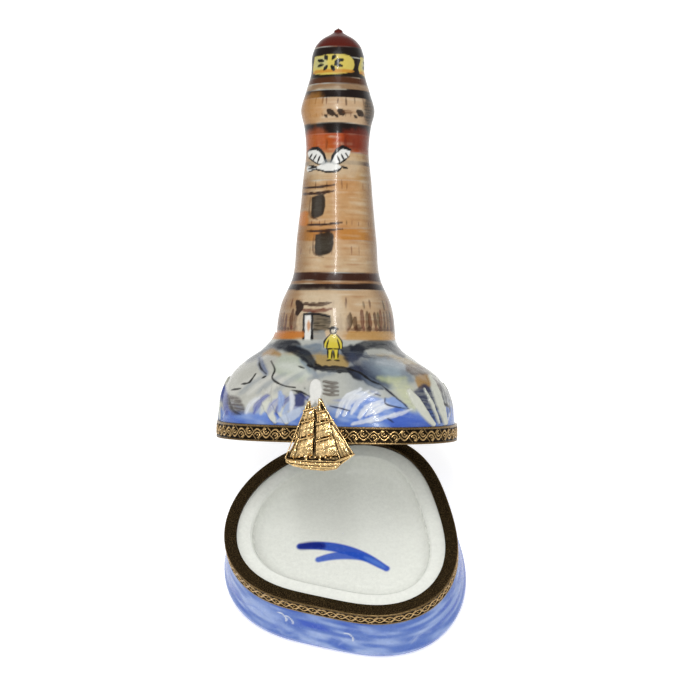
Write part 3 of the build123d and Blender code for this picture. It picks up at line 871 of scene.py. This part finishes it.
def skirt_points(turn, height, wall=0.0):
    """Points of the skirt's surface, drawn in by wall."""
    stages = np.asarray(SKIRT_STAGES, float)
    inset, roundness, lean = (smooth_curve(height, stages[:, 0], stages[:, column]) for column in (1, 2, 3))
    rim_x, rim_y = rim_point(turn, -inset - wall)
    radius = FOOT_RADIUS + SHOULDER_INSET - inset - wall
    foot_x = radius * np.cos(turn) - TOWER_OFFSET
    foot_y = radius * np.sin(turn)
    return rim_x * (1 - roundness) + foot_x * roundness - lean, rim_y * (1 - roundness) + foot_y * roundness


def surface_normals(x, y, z):
    """Outward normals of a sheet of rows that each run once round the object."""
    points = np.stack([x, y, z], -1)
    around = np.roll(points, -1, 1) - np.roll(points, 1, 1)
    upward = np.gradient(points, axis=0)
    normal = np.cross(around, upward)
    return normal / np.maximum(np.linalg.norm(normal, axis=-1, keepdims=True), 1e-9)


def painted_shell(name, turn, outer, inner):
    """A closed porcelain shell from its outer rows, which get paint, and its plain inner rows."""
    x, y, z = outer
    canvas = Canvas(x + TOWER_OFFSET, y, z, STONE)
    paint_lid(canvas)
    raised = canvas.lift.reshape(x.shape)[..., None] * surface_normals(x, y, z)
    outer_points = np.stack(outer, -1) + raised
    points = np.concatenate([outer_points, np.stack(inner, -1)])
    rows, columns = points.shape[:2]
    flat = points.reshape(-1, 3)
    flat = np.stack(on_lid(flat[:, 0], flat[:, 1], flat[:, 2]), -1)
    piece = make_mesh(name, flat, grid_faces(rows, columns, closed_section=True))
    plain = np.tile(linear((222, 224, 222)), (len(flat) - len(canvas.color), 1))
    give_colors(piece, "paint", np.concatenate([fired(canvas.color, 0.74, 1.14), plain]))
    return piece


def lid_skirt(material):
    turn = turns_round(450, 190)
    heights = np.concatenate([[FLANGE_THICKNESS, BAND_HEIGHT], np.linspace(BAND_HEIGHT, SKIRT_TOP, 118)])
    turns, height = np.meshgrid(turn, heights)
    x, y = skirt_points(turns, np.maximum(height, BAND_HEIGHT))
    neck_x, neck_y = rim_point(turns[:2], -BAND_THICKNESS)
    x[:2], y[:2] = neck_x, neck_y
    swell = noise(turns / tau * 22, height / 4.5, 61, 22) - 0.5
    swell = swell + 0.5 * (noise(turns / tau * 50, height / 2.2, 62, 50) - 0.5)
    fade = ease((height - BAND_HEIGHT - 1) / 4) * ease((23 - height) / 6)
    bulge = (0.55 * swell * fade)[..., None] * surface_normals(x, y, height)
    x, y, height = x + bulge[..., 0], y + bulge[..., 1], height + bulge[..., 2]
    bore = FOOT_RADIUS - LID_WALL
    bore_x, bore_y = bore * np.cos(turn) - TOWER_OFFSET, bore * np.sin(turn)
    inner_rows = [(bore_x, bore_y, np.full_like(turn, level)) for level in (SKIRT_TOP, 16.0)]
    for level in (13.0, 10.4, 8.4, 5.4, BAND_HEIGHT):
        wall_x, wall_y = skirt_points(turn, np.full_like(turn, level), LID_WALL)
        inner_rows.append((wall_x, wall_y, np.full_like(turn, level - 0.8)))
    mouth_x, mouth_y = rim_point(turn, -BAND_THICKNESS - LID_WALL)
    inner_rows.append((mouth_x, mouth_y, np.full_like(turn, FLANGE_THICKNESS)))
    inner = [np.stack(parts) for parts in zip(*inner_rows)]
    piece = painted_shell("lighthouse_skirt", turn, (x, y, height), inner)
    finish_piece(piece, material, "lid", "lid_porcelain", "lighthouse_lid")


def lid_tower(material):
    turn = turns_round(230, 80)
    profile = np.asarray(TOWER_PROFILE)
    heights = np.concatenate([np.linspace(22.0, 94.0, 282), np.linspace(94.0, 98.75, 34)[1:]])
    turns, height = np.meshgrid(turn, heights)
    radius = smooth_curve(height, profile[:, 0], profile[:, 1])
    fade = ease((height - 26) / 6) * ease((96 - height) / 4)
    radius += fade * 0.14 * (noise(turns / tau * 6, height / 7, 63, 6) - 0.5)
    x, y = radius * np.cos(turns) - TOWER_OFFSET, radius * np.sin(turns)
    bore = ((0.0, BORE_HEIGHT), (4.8, BORE_HEIGHT), (4.8, 70.5), (7.8, 38.4), (10.7, 25.4), (10.7, 22.0))
    reach, level = np.array(bore).T[..., None]
    inner = reach * np.cos(turn) - TOWER_OFFSET, reach * np.sin(turn), level + 0 * turn
    piece = painted_shell("lighthouse_tower", turn, (x, y, height), inner)
    finish_piece(piece, material, "lid", "lid_porcelain", "lighthouse_lid")


# ---------------------------------------------------------------- base porcelain

WALL_HEIGHT = BASE_HEIGHT - BAND_HEIGHT
# The blue wall from the rounded foot up: share of its height, and flare.
WALL_FLARES = ((0.05, 0.85), (0.16, 1.55), (0.42, 1.05), (0.76, 0.31), (0.92, -0.125), (1, -0.4))
WALL_STAGES = ((0, -0.6), (0.3, 0.3), *((share * WALL_HEIGHT, flare) for share, flare in WALL_FLARES))
# The white inside from the flange to the middle of the floor: reach inwards from the rim, and height.
LEDGE_Z = BASE_HEIGHT - FLANGE_THICKNESS
FLOOR_Z = LEDGE_Z - DISH_DEPTH
INSIDE_STAGES = (
    (2.4, LEDGE_Z), (6.1, LEDGE_Z), (6.5, LEDGE_Z - 0.06), (6.82, LEDGE_Z - 0.3), (6.95, LEDGE_Z - 0.8),
    (7.05, LEDGE_Z - 1.5), (7.5, LEDGE_Z - 2.7), (8.5, LEDGE_Z - 3.9), (9.7, LEDGE_Z - 4.5), (11.0, FLOOR_Z),
)


def paint_wall(canvas):
    """Blue water in sweeping strokes round the base's wall."""
    turn = canvas.share_of_turn()
    slant = turn * 40 + canvas.up / 5
    streak = noise(slant, canvas.up / 1.1, 71, 40) * 0.6 + noise(turn * 22, canvas.up / 3, 72, 22) * 0.4
    canvas.wash(0.85 * ease(2.8 * streak - 1.2), (186, 204, 242))
    canvas.wash(0.9 * ease(1.3 - 2.8 * streak), (70, 112, 212))
    canvas.wash(0.35 * ease(1 - canvas.up / 2.5), (70, 104, 200))
    rng = np.random.default_rng(73)
    for index in range(64):
        canvas.face(FRONT + 360 * (index + rng.uniform(-0.4, 0.4)) / 64)
        y, w, rise = rng.uniform(1.5, 11), rng.uniform(3, 8), rng.uniform(-2, 2.5)
        color = ((200, 214, 244), (76, 114, 208), (214, 224, 246), (92, 128, 214))[index % 4]
        sweep = ((-w / 2, y), (0, y + rise), (w / 2, y + rise * 0.4))
        canvas.stroke(sweep, rng.uniform(0.5, 1.5), color, 0.6, 0.5, dry=0.6)
    canvas.face(FRONT)
    for x, y in ((-15, 10.5), (-13.5, 10), (1, 8.5)):
        for crest in (((0, 0), (0.5, -1), (0.4, -2)), ((-1.6, 0.4), (-0.6, 0.5), (0, 0))):
            canvas.stroke(around(x, y, *crest), 0.4, FOAM, 0.9, 0.12, 0.12)


def paint_motif(canvas):
    """Two plain blue brush strokes on the floor of the dish, painted from above."""
    stroke = canvas.stroke
    canvas.across, canvas.level = canvas.east, canvas.south
    canvas.seen = np.ones(len(canvas.up), bool)
    canvas.ragged = np.zeros(len(canvas.up))
    canvas.bristle = noise(canvas.across / 0.5, canvas.level / 0.5, 75)
    bend = np.linspace(-1, 1, 5)
    short = [(1 + 6.5 * b, -6.6 + 0.2 * b - 1.2 * b * b) for b in bend]
    stroke(short, 2.3, (58, 98, 200), 0.95, 0.3, taper=0.35)
    long = [(0.5 + 11 * b, -4.8 - 3 * b - 2.4 * b * b) for b in bend]
    stroke(long, 2.7, (40, 84, 196), 0.97, 0.28, taper=0.45)
    stroke(((-10, -4.2), (-7.5, -3.8), (-5, -3.9)), 2.2, (8, 24, 126), 0.9, 0.6, taper=0.1)
    stroke(((6, -7), (8.5, -8.3), (11, -9.8)), 1.1, (96, 136, 220), 0.7, 0.5)


def base_dish(material):
    turn = turns_round(300, 150)
    wall = np.asarray(WALL_STAGES)
    wall_heights = np.linspace(0, wall[-1, 0], 62)
    turns, wall_z = np.meshgrid(turn, wall_heights)
    wall_x, wall_y = rim_point(turns, smooth_curve(wall_z, wall[:, 0], wall[:, 1]))
    fade = ease(wall_z / 2) * ease((13 - wall_z) / 3)
    ripple = 0.3 * (noise(turns / tau * 14, wall_z / 6, 74, 14) - 0.5) * fade
    normal = surface_normals(wall_x, wall_y, wall_z)
    wall_x, wall_y = wall_x + ripple * normal[..., 0], wall_y + ripple * normal[..., 1]
    canvas = Canvas(wall_x, wall_y, wall_z, (122, 152, 216))
    paint_wall(canvas)
    lifted = canvas.lift.reshape(wall_z.shape)
    wall_x, wall_y = wall_x + lifted * normal[..., 0], wall_y + lifted * normal[..., 1]

    inside = smooth_line(INSIDE_STAGES, steps=4)
    turns, reach = np.meshgrid(turn, inside[:, 0])
    inside_x, inside_y = rim_point(turns, -reach)
    inside_z = np.repeat(inside[:, 1:], len(turn), 1)
    share = np.linspace(1, 0.01, 78)[1:, None]
    floor_x, floor_y = inside_x[-1] * share, inside_y[-1] * share
    floor_z = np.full_like(floor_x, FLOOR_Z)
    under_x, under_y = wall_x[0] * 0.02, wall_y[0] * 0.02
    rows_x = np.concatenate([under_x[None], wall_x, inside_x, floor_x])
    rows_y = np.concatenate([under_y[None], wall_y, inside_y, floor_y])
    rows_z = np.concatenate([np.zeros((1, len(turn))), wall_z, inside_z, floor_z])
    white = Canvas(rows_x, rows_y, rows_z, (240, 242, 235))
    paint_motif(white)
    high = rows_z.ravel() > FLOOR_Z - 0.1
    white.color[~high] = linear((238, 237, 227))
    start = len(turn)
    white.color[start:start + len(canvas.color)] = fired(canvas.color, 0.8, 1.34)
    points = np.stack([rows_x.ravel(), rows_y.ravel(), rows_z.ravel()], -1)
    piece = make_mesh("painted_dish", points, grid_faces(len(rows_x), len(turn)))
    give_colors(piece, "paint", white.color)
    finish_piece(piece, material, "base", "base_porcelain", "base_dish")


# ---------------------------------------------------------------- brass rims

SCROLLS = 38
# The radius of the rounded edge between band and flange.
CORNER = 0.22


def bar(distance, width):
    """The rounded top of a raised line, 0 at its edges and 1 along its middle."""
    return np.sqrt(np.clip(1 - (distance / width) ** 2, 0, 1))


def scroll_relief(along, level, crossing):
    """Height, 0 to 1, of the embossed vine: along in scrolls round the rim, level in mm across the band."""
    pitch = tau * RIM_RADIUS / SCROLLS
    phase = (along % 1) * tau
    middle, swing = BAND_HEIGHT / 2, 0.95
    stem = bar(level - middle - swing * np.cos(phase), 0.26)
    relief = stem
    if crossing:
        relief = np.maximum(relief, bar(level - middle + swing * np.cos(phase), 0.24))
    for half, side in ((0.0, -1), (0.5, 1)):
        away = ((along - half + 0.5) % 1 - 0.5) * pitch
        up = level - middle - side * 0.42
        distance = np.hypot(away, up)
        opening = np.cos(np.arctan2(up, away) - (0.6 if side > 0 else 3.9)) < 0.72
        if crossing:
            relief = np.maximum(relief, bar(np.hypot(away, (level - middle) * 1.6), 0.36))
        else:
            relief = np.maximum(relief, bar(distance - 0.62, 0.2) * opening)
            relief = np.maximum(relief, bar(distance, 0.27))
    for quarter, slope in ((0.25, 1.1), (0.75, -1.1)):
        away = ((along - quarter + 0.5) % 1 - 0.5) * pitch
        for offset in (-0.85, 0.85):
            across = (level - middle - offset) - slope * (away - offset * slope * 0.35)
            inside = np.abs(away - offset * slope * 0.35) < 0.62
            relief = np.maximum(relief, 0.8 * bar(across / 1.4, 0.17) * inside)
    return relief


def brass_rim(name, place, body, node, material, crossing, flip):
    """An L-section rim: the flat flange on the mouth and the embossed band round the outside."""
    columns = 1080
    turn = np.linspace(0, tau, columns, endpoint=False)
    band = np.linspace(BAND_HEIGHT, CORNER, 27)
    corner = np.radians([0, 30, 60, 90])
    flange = np.linspace(0.5, FLANGE_WIDTH, 12)
    inside_outs = [-FLANGE_WIDTH, -BAND_THICKNESS, -BAND_THICKNESS]
    inside_depths = [FLANGE_THICKNESS, FLANGE_THICKNESS, BAND_HEIGHT]
    outs = np.concatenate([0 * band, CORNER * (np.cos(corner) - 1), -flange, inside_outs])
    depths = np.concatenate([band, CORNER * (1 - np.sin(corner)), 0 * flange, inside_depths])
    turns, depth = np.meshgrid(turn, depths)
    out = np.repeat(outs[:, None], columns, 1)
    edge_x, edge_y = rim_point(turn)
    step = np.hypot(np.roll(edge_x, -1) - edge_x, np.roll(edge_y, -1) - edge_y)
    along = (np.cumsum(step) - step) / step.sum() * SCROLLS
    along = np.repeat(along[None], len(depths), 0)
    relief = scroll_relief(along, depth, crossing)
    on_band = (outs == 0)[:, None] & (depth > EDGE_LINE) & (depth < BAND_HEIGHT - EDGE_LINE)
    ground = ease(np.minimum(depth - EDGE_LINE, BAND_HEIGHT - EDGE_LINE - depth) / 0.14)
    out = out + on_band * (-RELIEF_DEPTH * ground + (RELIEF_DEPTH + 0.06) * relief * ground)
    hammer = noise(along * 1.5, depth * 3, 81, 57) - 0.5
    out = out + on_band * 0.05 * hammer
    x, y = rim_point(turns, out)
    seat = (np.abs(x - HINGE_X) < SEAT_LENGTH / 2) & (y > SEAT_Y)
    y = np.where(seat, SEAT_Y, y)
    height = np.where(on_band, 0.06 + 0.8 * relief * ground, 0.5)
    # Painted shade: the flat flange is kept dark, standing in for the dark surroundings it reflects; the
    # band's hollows get real patina.
    height = np.where((outs < -0.2)[:, None], 0.38, height)
    height = np.where(seat, 0.3, height)
    points = np.stack(place(x.ravel(), y.ravel(), depth.ravel()), -1)
    piece = make_mesh(name, points, grid_faces(len(depths), columns, closed_section=True), flip)
    give_floats(piece, "patina_and_shade", height.ravel())
    finish_piece(piece, material, body, "antique_brass", node)


# ---------------------------------------------------------------- ship clasp

clasp_turn = np.radians([CLASP_ANGLE])
CLASP_FOOT = [part[0] for part in rim_point(clasp_turn)]
CLASP_OUT = [part[0] - foot for part, foot in zip(rim_point(clasp_turn, 1.0), CLASP_FOOT)]
PLATE_FRONT = PLATE_BACK + 0.45
SHIP_OUTLINE = (
    (-2.8, 9.7), (-3.2, 8.2), (-4.4, 6.2), (-5.3, 1.8), (-6.7, -1.0), (-8.3, -3.4), (-7.9, -4.6),
    (-3.8, -5.9), (1.0, -6.2), (4.0, -5.7), (5.3, -4.4), (8.4, -2.2), (4.9, 1.8), (2.3, 6.4),
    (0.3, 10.3), (-0.4, 10.3), (-0.7, 8.0), (-2.0, 7.6), (-2.4, 9.7),
)
HULL_OUTLINE = (
    (-8.0, -3.5), (-7.9, -4.4), (-6.2, -5.2), (-3.8, -5.7), (1.0, -6.0),
    (3.9, -5.5), (5.1, -4.5), (5.0, -3.8), (-5.8, -3.8),
)


def on_clasp(x, y, out):
    """Carries points of the ship, across, up and outwards from the clasp's place, onto the open lid."""
    foot_x, foot_y = CLASP_FOOT
    out_x, out_y = CLASP_OUT
    return on_lid(foot_x - out_y * x + out_x * out, foot_y + out_x * x + out_y * out, y)


class Casting:
    """The solids of the ship, gathered to be fused into one cast piece."""

    def __init__(self):
        self.points, self.faces = [], []

    def add(self, points, faces):
        start = len(self.points)
        self.points.extend(map(tuple, points))
        self.faces.extend(tuple(start + corner for corner in face) for face in faces)

    def sheet(self, corners, belly, folds):
        """A swelling sail between four corners, top left first and going clockwise."""
        size = 16
        u, v = np.meshgrid(np.linspace(0, 1, size), np.linspace(0, 1, size))
        shares = (1 - u) * (1 - v), u * (1 - v), u * v, (1 - u) * v
        plan = sum(share[..., None] * np.asarray(corner, float) for share, corner in zip(shares, corners))
        swell = belly * (np.sin(pi * np.clip(u, 0.04, 0.96)) ** 0.5) * np.sin(pi * (0.12 + 0.8 * v)) ** 0.7
        swell -= 0.11 * np.abs(np.sin(folds * pi * u)) ** 8
        swell -= 0.1 * np.abs(np.cos(pi * 2 * v)) ** 12
        front = np.concatenate([plan, (PLATE_FRONT + swell)[..., None]], -1).reshape(-1, 3)
        rear = front * (1, 1, 0) + (0, 0, PLATE_BACK + 0.1)
        faces = []
        count = size * size
        for row in range(size - 1):
            for column in range(size - 1):
                corner = row * size + column
                quad = (corner, corner + size, corner + size + 1, corner + 1)
                faces.append(quad)
                faces.append(tuple(count + index for index in reversed(quad)))
        edge = list(range(size)) + [size * row + size - 1 for row in range(1, size)]
        edge += list(range(count - 2, count - size - 1, -1)) + [size * row for row in range(size - 2, 0, -1)]
        for here, there in zip(edge, edge[1:] + edge[:1]):
            faces.append((here, there, count + there, count + here))
        self.add(np.concatenate([front, rear]), faces)

    def spar(self, line, radii, out):
        """A round spar or rope along a line of points, this far in front of the plate."""
        sides = 8
        line = np.asarray(line, float)
        radius = np.linspace(*radii, len(line))[:, None]
        heading = np.gradient(line, axis=0)
        heading /= np.linalg.norm(heading, axis=1)[:, None]
        turn = tau * np.arange(sides) / sides
        across = radius * np.cos(turn)
        x = line[:, :1] - heading[:, 1:] * across
        y = line[:, 1:] + heading[:, :1] * across
        points = np.stack([x, y, PLATE_FRONT + out + radius * np.sin(turn)], -1).reshape(-1, 3)
        ends = range(sides)[::-1], range(len(points) - sides, len(points))
        self.add(points, [*grid_faces(len(line), sides), *ends])

    def plate(self, outline, back, front):
        """A flat plate of this outline."""
        count = len(outline)
        points = [(x, y, out) for out in (back, front) for x, y in outline]
        faces = range(count), range(count, 2 * count)[::-1]
        self.add(points, [*faces, *grid_faces(2, count)[:, [0, 3, 2, 1]]])


def sheer(x, level):
    """The height of the hull's sagging lines."""
    return level - 0.55 * (1 - (x / 7.5) ** 2)


def ship_parts():
    """Hull, masts, yards, sails and rigging of a two-masted ship."""
    ship = Casting()
    ship.plate(SHIP_OUTLINE, PLATE_BACK, PLATE_FRONT - 0.1)
    tilt = 0.3
    for top, bottom, belly in ((7.4, 5.3, 0.6), (4.8, 1.5, 0.8), (1.0, -3.0, 0.95)):
        for left, left_slope, right, right_slope in ((-5.1, 0.16, -1.5, 0.03), (-0.8, 0.02, 3.7, -0.27)):
            middle = (left + right) / 2
            corners = []
            for level, edge in ((top, 0), (top, 1), (bottom, 1), (bottom, 0)):
                x = (right + right_slope * level) if edge else (left + left_slope * level)
                corners.append((x, level + tilt * (x - middle) * (0.9 if level == top else 0.55)))
            ship.sheet(corners, belly, folds=3)
            ship.spar(np.linspace(corners[0], corners[1], 6) + (0, 0.18), (0.2, 0.17), 0.55)
    for foot, head in (((-3.1, -4), (-2.6, 9.6)), ((0.2, -4), (0.0, 10.2))):
        ship.spar(np.linspace(foot, head, 12), (0.36, 0.2), 0.2)
    ship.sheet(((2.6, 4.4), (3.2, 4.2), (7.9, -2.1), (4.6, -3.0)), 0.45, folds=4)
    ship.sheet(((-5.2, 1.2), (-4.8, 1.0), (-5.6, -3.6), (-7.2, -3.2)), 0.5, folds=2)
    for rope in (
        ((0.2, 9.9), (8.2, -2.3)), ((-2.8, 9.4), (-8.2, -3.6)), ((0.0, 8.6), (5.0, -3.4)),
        ((-2.9, 8.2), (-5.6, -3.2)), ((-2.0, 8.0), (0, 8.6)),
    ):
        ship.spar(np.linspace(*rope, 8), (0.15, 0.15), 0.15)
    ship.spar(((3.6, -4.2), (5.4, -3.4), (8.2, -2.2)), (0.34, 0.2), 0.35)
    ship.plate(HULL_OUTLINE, PLATE_BACK, PLATE_FRONT + 0.55)
    for level, out in ((-3.9, 0.78), (-4.5, 0.68), (-5.1, 0.5)):
        drop = level + 3.9
        along = np.linspace(-7.6 - drop, 5.2 + 0.9 * drop, 14)
        strake = [(x, sheer(x, level) + 0.35 * (level < -4)) for x in along]
        ship.spar(strake, (0.2, 0.2), out)
    for index in range(9):
        x = -5.6 + 1.2 * index
        level = sheer(x, -4.05)
        ship.spar(((x - 0.05, level - 0.3), (x, level), (x + 0.05, level + 0.3)), (0.24, 0.24), 0.8)
    for index in range(7):
        x = -4.6 + 1.25 * index
        ship.spar(((x - 0.1, -3.2), (x, -3.0), (x + 0.1, -2.8)), (0.3, 0.2), 0.5)
    return ship


SMOOTHING_ROUNDS = 8


def read_vectors(items, name):
    values = np.empty(len(items) * 3)
    items.foreach_get(name, values)
    return values.reshape(-1, 3)


def fused_cavity(mesh):
    """How far each point of a mesh stands proud of its smoothed neighbourhood, in millimetres."""
    points = read_vectors(mesh.vertices, "co")
    normals = read_vectors(mesh.vertex_normals, "vector")
    edges = np.empty(len(mesh.edges) * 2, int)
    mesh.edges.foreach_get("vertices", edges)
    first, second = edges.reshape(-1, 2).T
    degree = np.bincount(edges, minlength=len(points))[:, None]
    smoothed = points.copy()
    for step in range(SMOOTHING_ROUNDS):
        total = np.zeros_like(points)
        np.add.at(total, first, smoothed[second])
        np.add.at(total, second, smoothed[first])
        smoothed = total / degree
    return ((points - smoothed) * normals).sum(1) / MM


def ship_clasp(material):
    ship = ship_parts()
    piece = make_mesh("sailing_ship", ship.points, ship.faces)
    fuse = piece.modifiers.new("fuse", "REMESH")
    fuse.mode = "VOXEL"
    fuse.voxel_size = 0.10 * MM
    soften = piece.modifiers.new("soften", "SMOOTH")
    soften.iterations = 2
    evaluated = piece.evaluated_get(bpy.context.evaluated_depsgraph_get())
    fused = bpy.data.meshes.new_from_object(evaluated)
    piece.modifiers.clear()
    piece.data = fused
    x, y, out = read_vectors(fused.vertices, "co").T / MM
    grain = noise(x / 0.35, y / 0.35, 91) - 0.5 + 0.6 * (noise(x / 0.15, y / 0.15, 92) - 0.5)
    out = np.where(out > PLATE_BACK + 0.05, out + 0.12 * grain, out)
    proud = fused_cavity(fused)
    moved = np.stack(on_clasp(x, y, out), -1) * MM
    fused.vertices.foreach_set("co", moved.ravel())
    fused.update()
    fused.shade_smooth()
    level = 0.76 + 8.0 * proud + 0.3 * (out - PLATE_FRONT - 0.6)
    give_floats(piece, "patina_and_shade", np.clip(level, 0, 1))
    finish_piece(piece, material, "lid", "cast_brass", "ship_clasp")


# ---------------------------------------------------------------- stage, lights and camera

FLOOR_REACH = 8000


def stage(material):
    corners = [(x * FLOOR_REACH, y * FLOOR_REACH, 0) for x, y in ((-1, -1), (1, -1), (1, 1), (-1, 1))]
    piece = make_mesh("floor", corners, [(0, 1, 2, 3)])
    piece.data.materials.append(material)
    world = bpy.data.worlds.new("studio")
    world.use_nodes = True
    set_inputs(world.node_tree.nodes["Background"], {"Color": (1.0, 0.99, 0.96, 1), "Strength": 0.5})
    bpy.context.scene.world = world


def softbox(name, place, target, width, height, power):
    """A rectangular light of the given size in millimetres."""
    light = bpy.data.lights.new(name, "AREA")
    light.shape = "RECTANGLE"
    light.size, light.size_y = width * MM, height * MM
    light.energy = power
    lamp = bpy.data.objects.new(name, light)
    place, target = Vector(place) * MM, Vector(target) * MM
    aim = (target - place).to_track_quat("-Z", "Y").to_matrix().to_4x4()
    lamp.matrix_world = Matrix.Translation(place) @ aim
    bpy.context.scene.collection.objects.link(lamp)


def lights():
    middle = (0, 35, 45)
    softbox("front_softbox", (35, -197, 486), middle, 34, 260, 1.1)
    softbox("left_softbox", (-420, -120, 300), middle, 260, 320, 0.34)
    softbox("right_softbox", (420, -60, 260), middle, 220, 320, 0.1)
    softbox("top_softbox", (10, -20, 480), (0, 0, 20), 240, 200, 0.38)


def camera():
    """The view: down on the open box from a little to its right, with the camera slightly tipped."""
    target = Vector((0.48, 40.58, 34.86)) * MM
    elevation, heading, roll, distance = radians(49.28), radians(8.66), radians(-6.05), 448.4 * MM
    back = Vector((sin(heading) * cos(elevation), -cos(heading) * cos(elevation), sin(elevation)))
    level_right = Vector((cos(heading), sin(heading), 0))
    level_up = back.cross(level_right)
    right = cos(roll) * level_right + sin(roll) * level_up
    up = back.cross(right)
    data = bpy.data.cameras.new("camera")
    data.lens = 90.42
    data.sensor_width = 36
    data.clip_start = 0.01
    lens = bpy.data.objects.new("camera", data)
    turned = Matrix((right, up, back)).transposed().to_4x4()
    lens.matrix_world = Matrix.Translation(target + back * distance) @ turned
    bpy.context.scene.collection.objects.link(lens)
    bpy.context.scene.camera = lens
    bpy.context.scene.view_settings.view_transform = "Standard"


# ---------------------------------------------------------------- the whole box

BRIGHT_BRASS = (0.64, 0.42, 0.18)
DULL_BRASS = (0.50, 0.34, 0.15)
BLACK_PATINA = (0.014, 0.009, 0.005)

porcelain = glazed_paint("painted_porcelain", 0.22, 0.02)
dish_glaze = glazed_paint("glazed_dish", 0.2, 0.015)
rim_brass = old_brass("embossed_brass", BRIGHT_BRASS, BLACK_PATINA)
ship_brass = old_brass("cast_brass", (0.86, 0.6, 0.28), BLACK_PATINA)
hinge_brass = old_brass("hinge_brass", DULL_BRASS, (0.05, 0.03, 0.015), worn=False)
pin_brass = old_brass("pin_brass", (0.6, 0.44, 0.2), (0.12, 0.08, 0.04), worn=False)

lid_skirt(porcelain)
lid_tower(porcelain)
base_dish(dish_glaze)
brass_rim("base_band", on_base, "base", "base_rim", rim_brass, True, False)
brass_rim("lid_band", on_lid, "lid", "lid_rim", rim_brass, False, True)
ship_clasp(ship_brass)

for node, cad_piece in frame["nodes"].items():
    if "hinge" in node or "knuckle" in node or node == "clasp_tongue":
        cad_piece.data.materials.clear()
        cad_piece.data.materials.append(pin_brass if node == "hinge_pin" else hinge_brass)

stage(studio_floor())
lights()
camera()
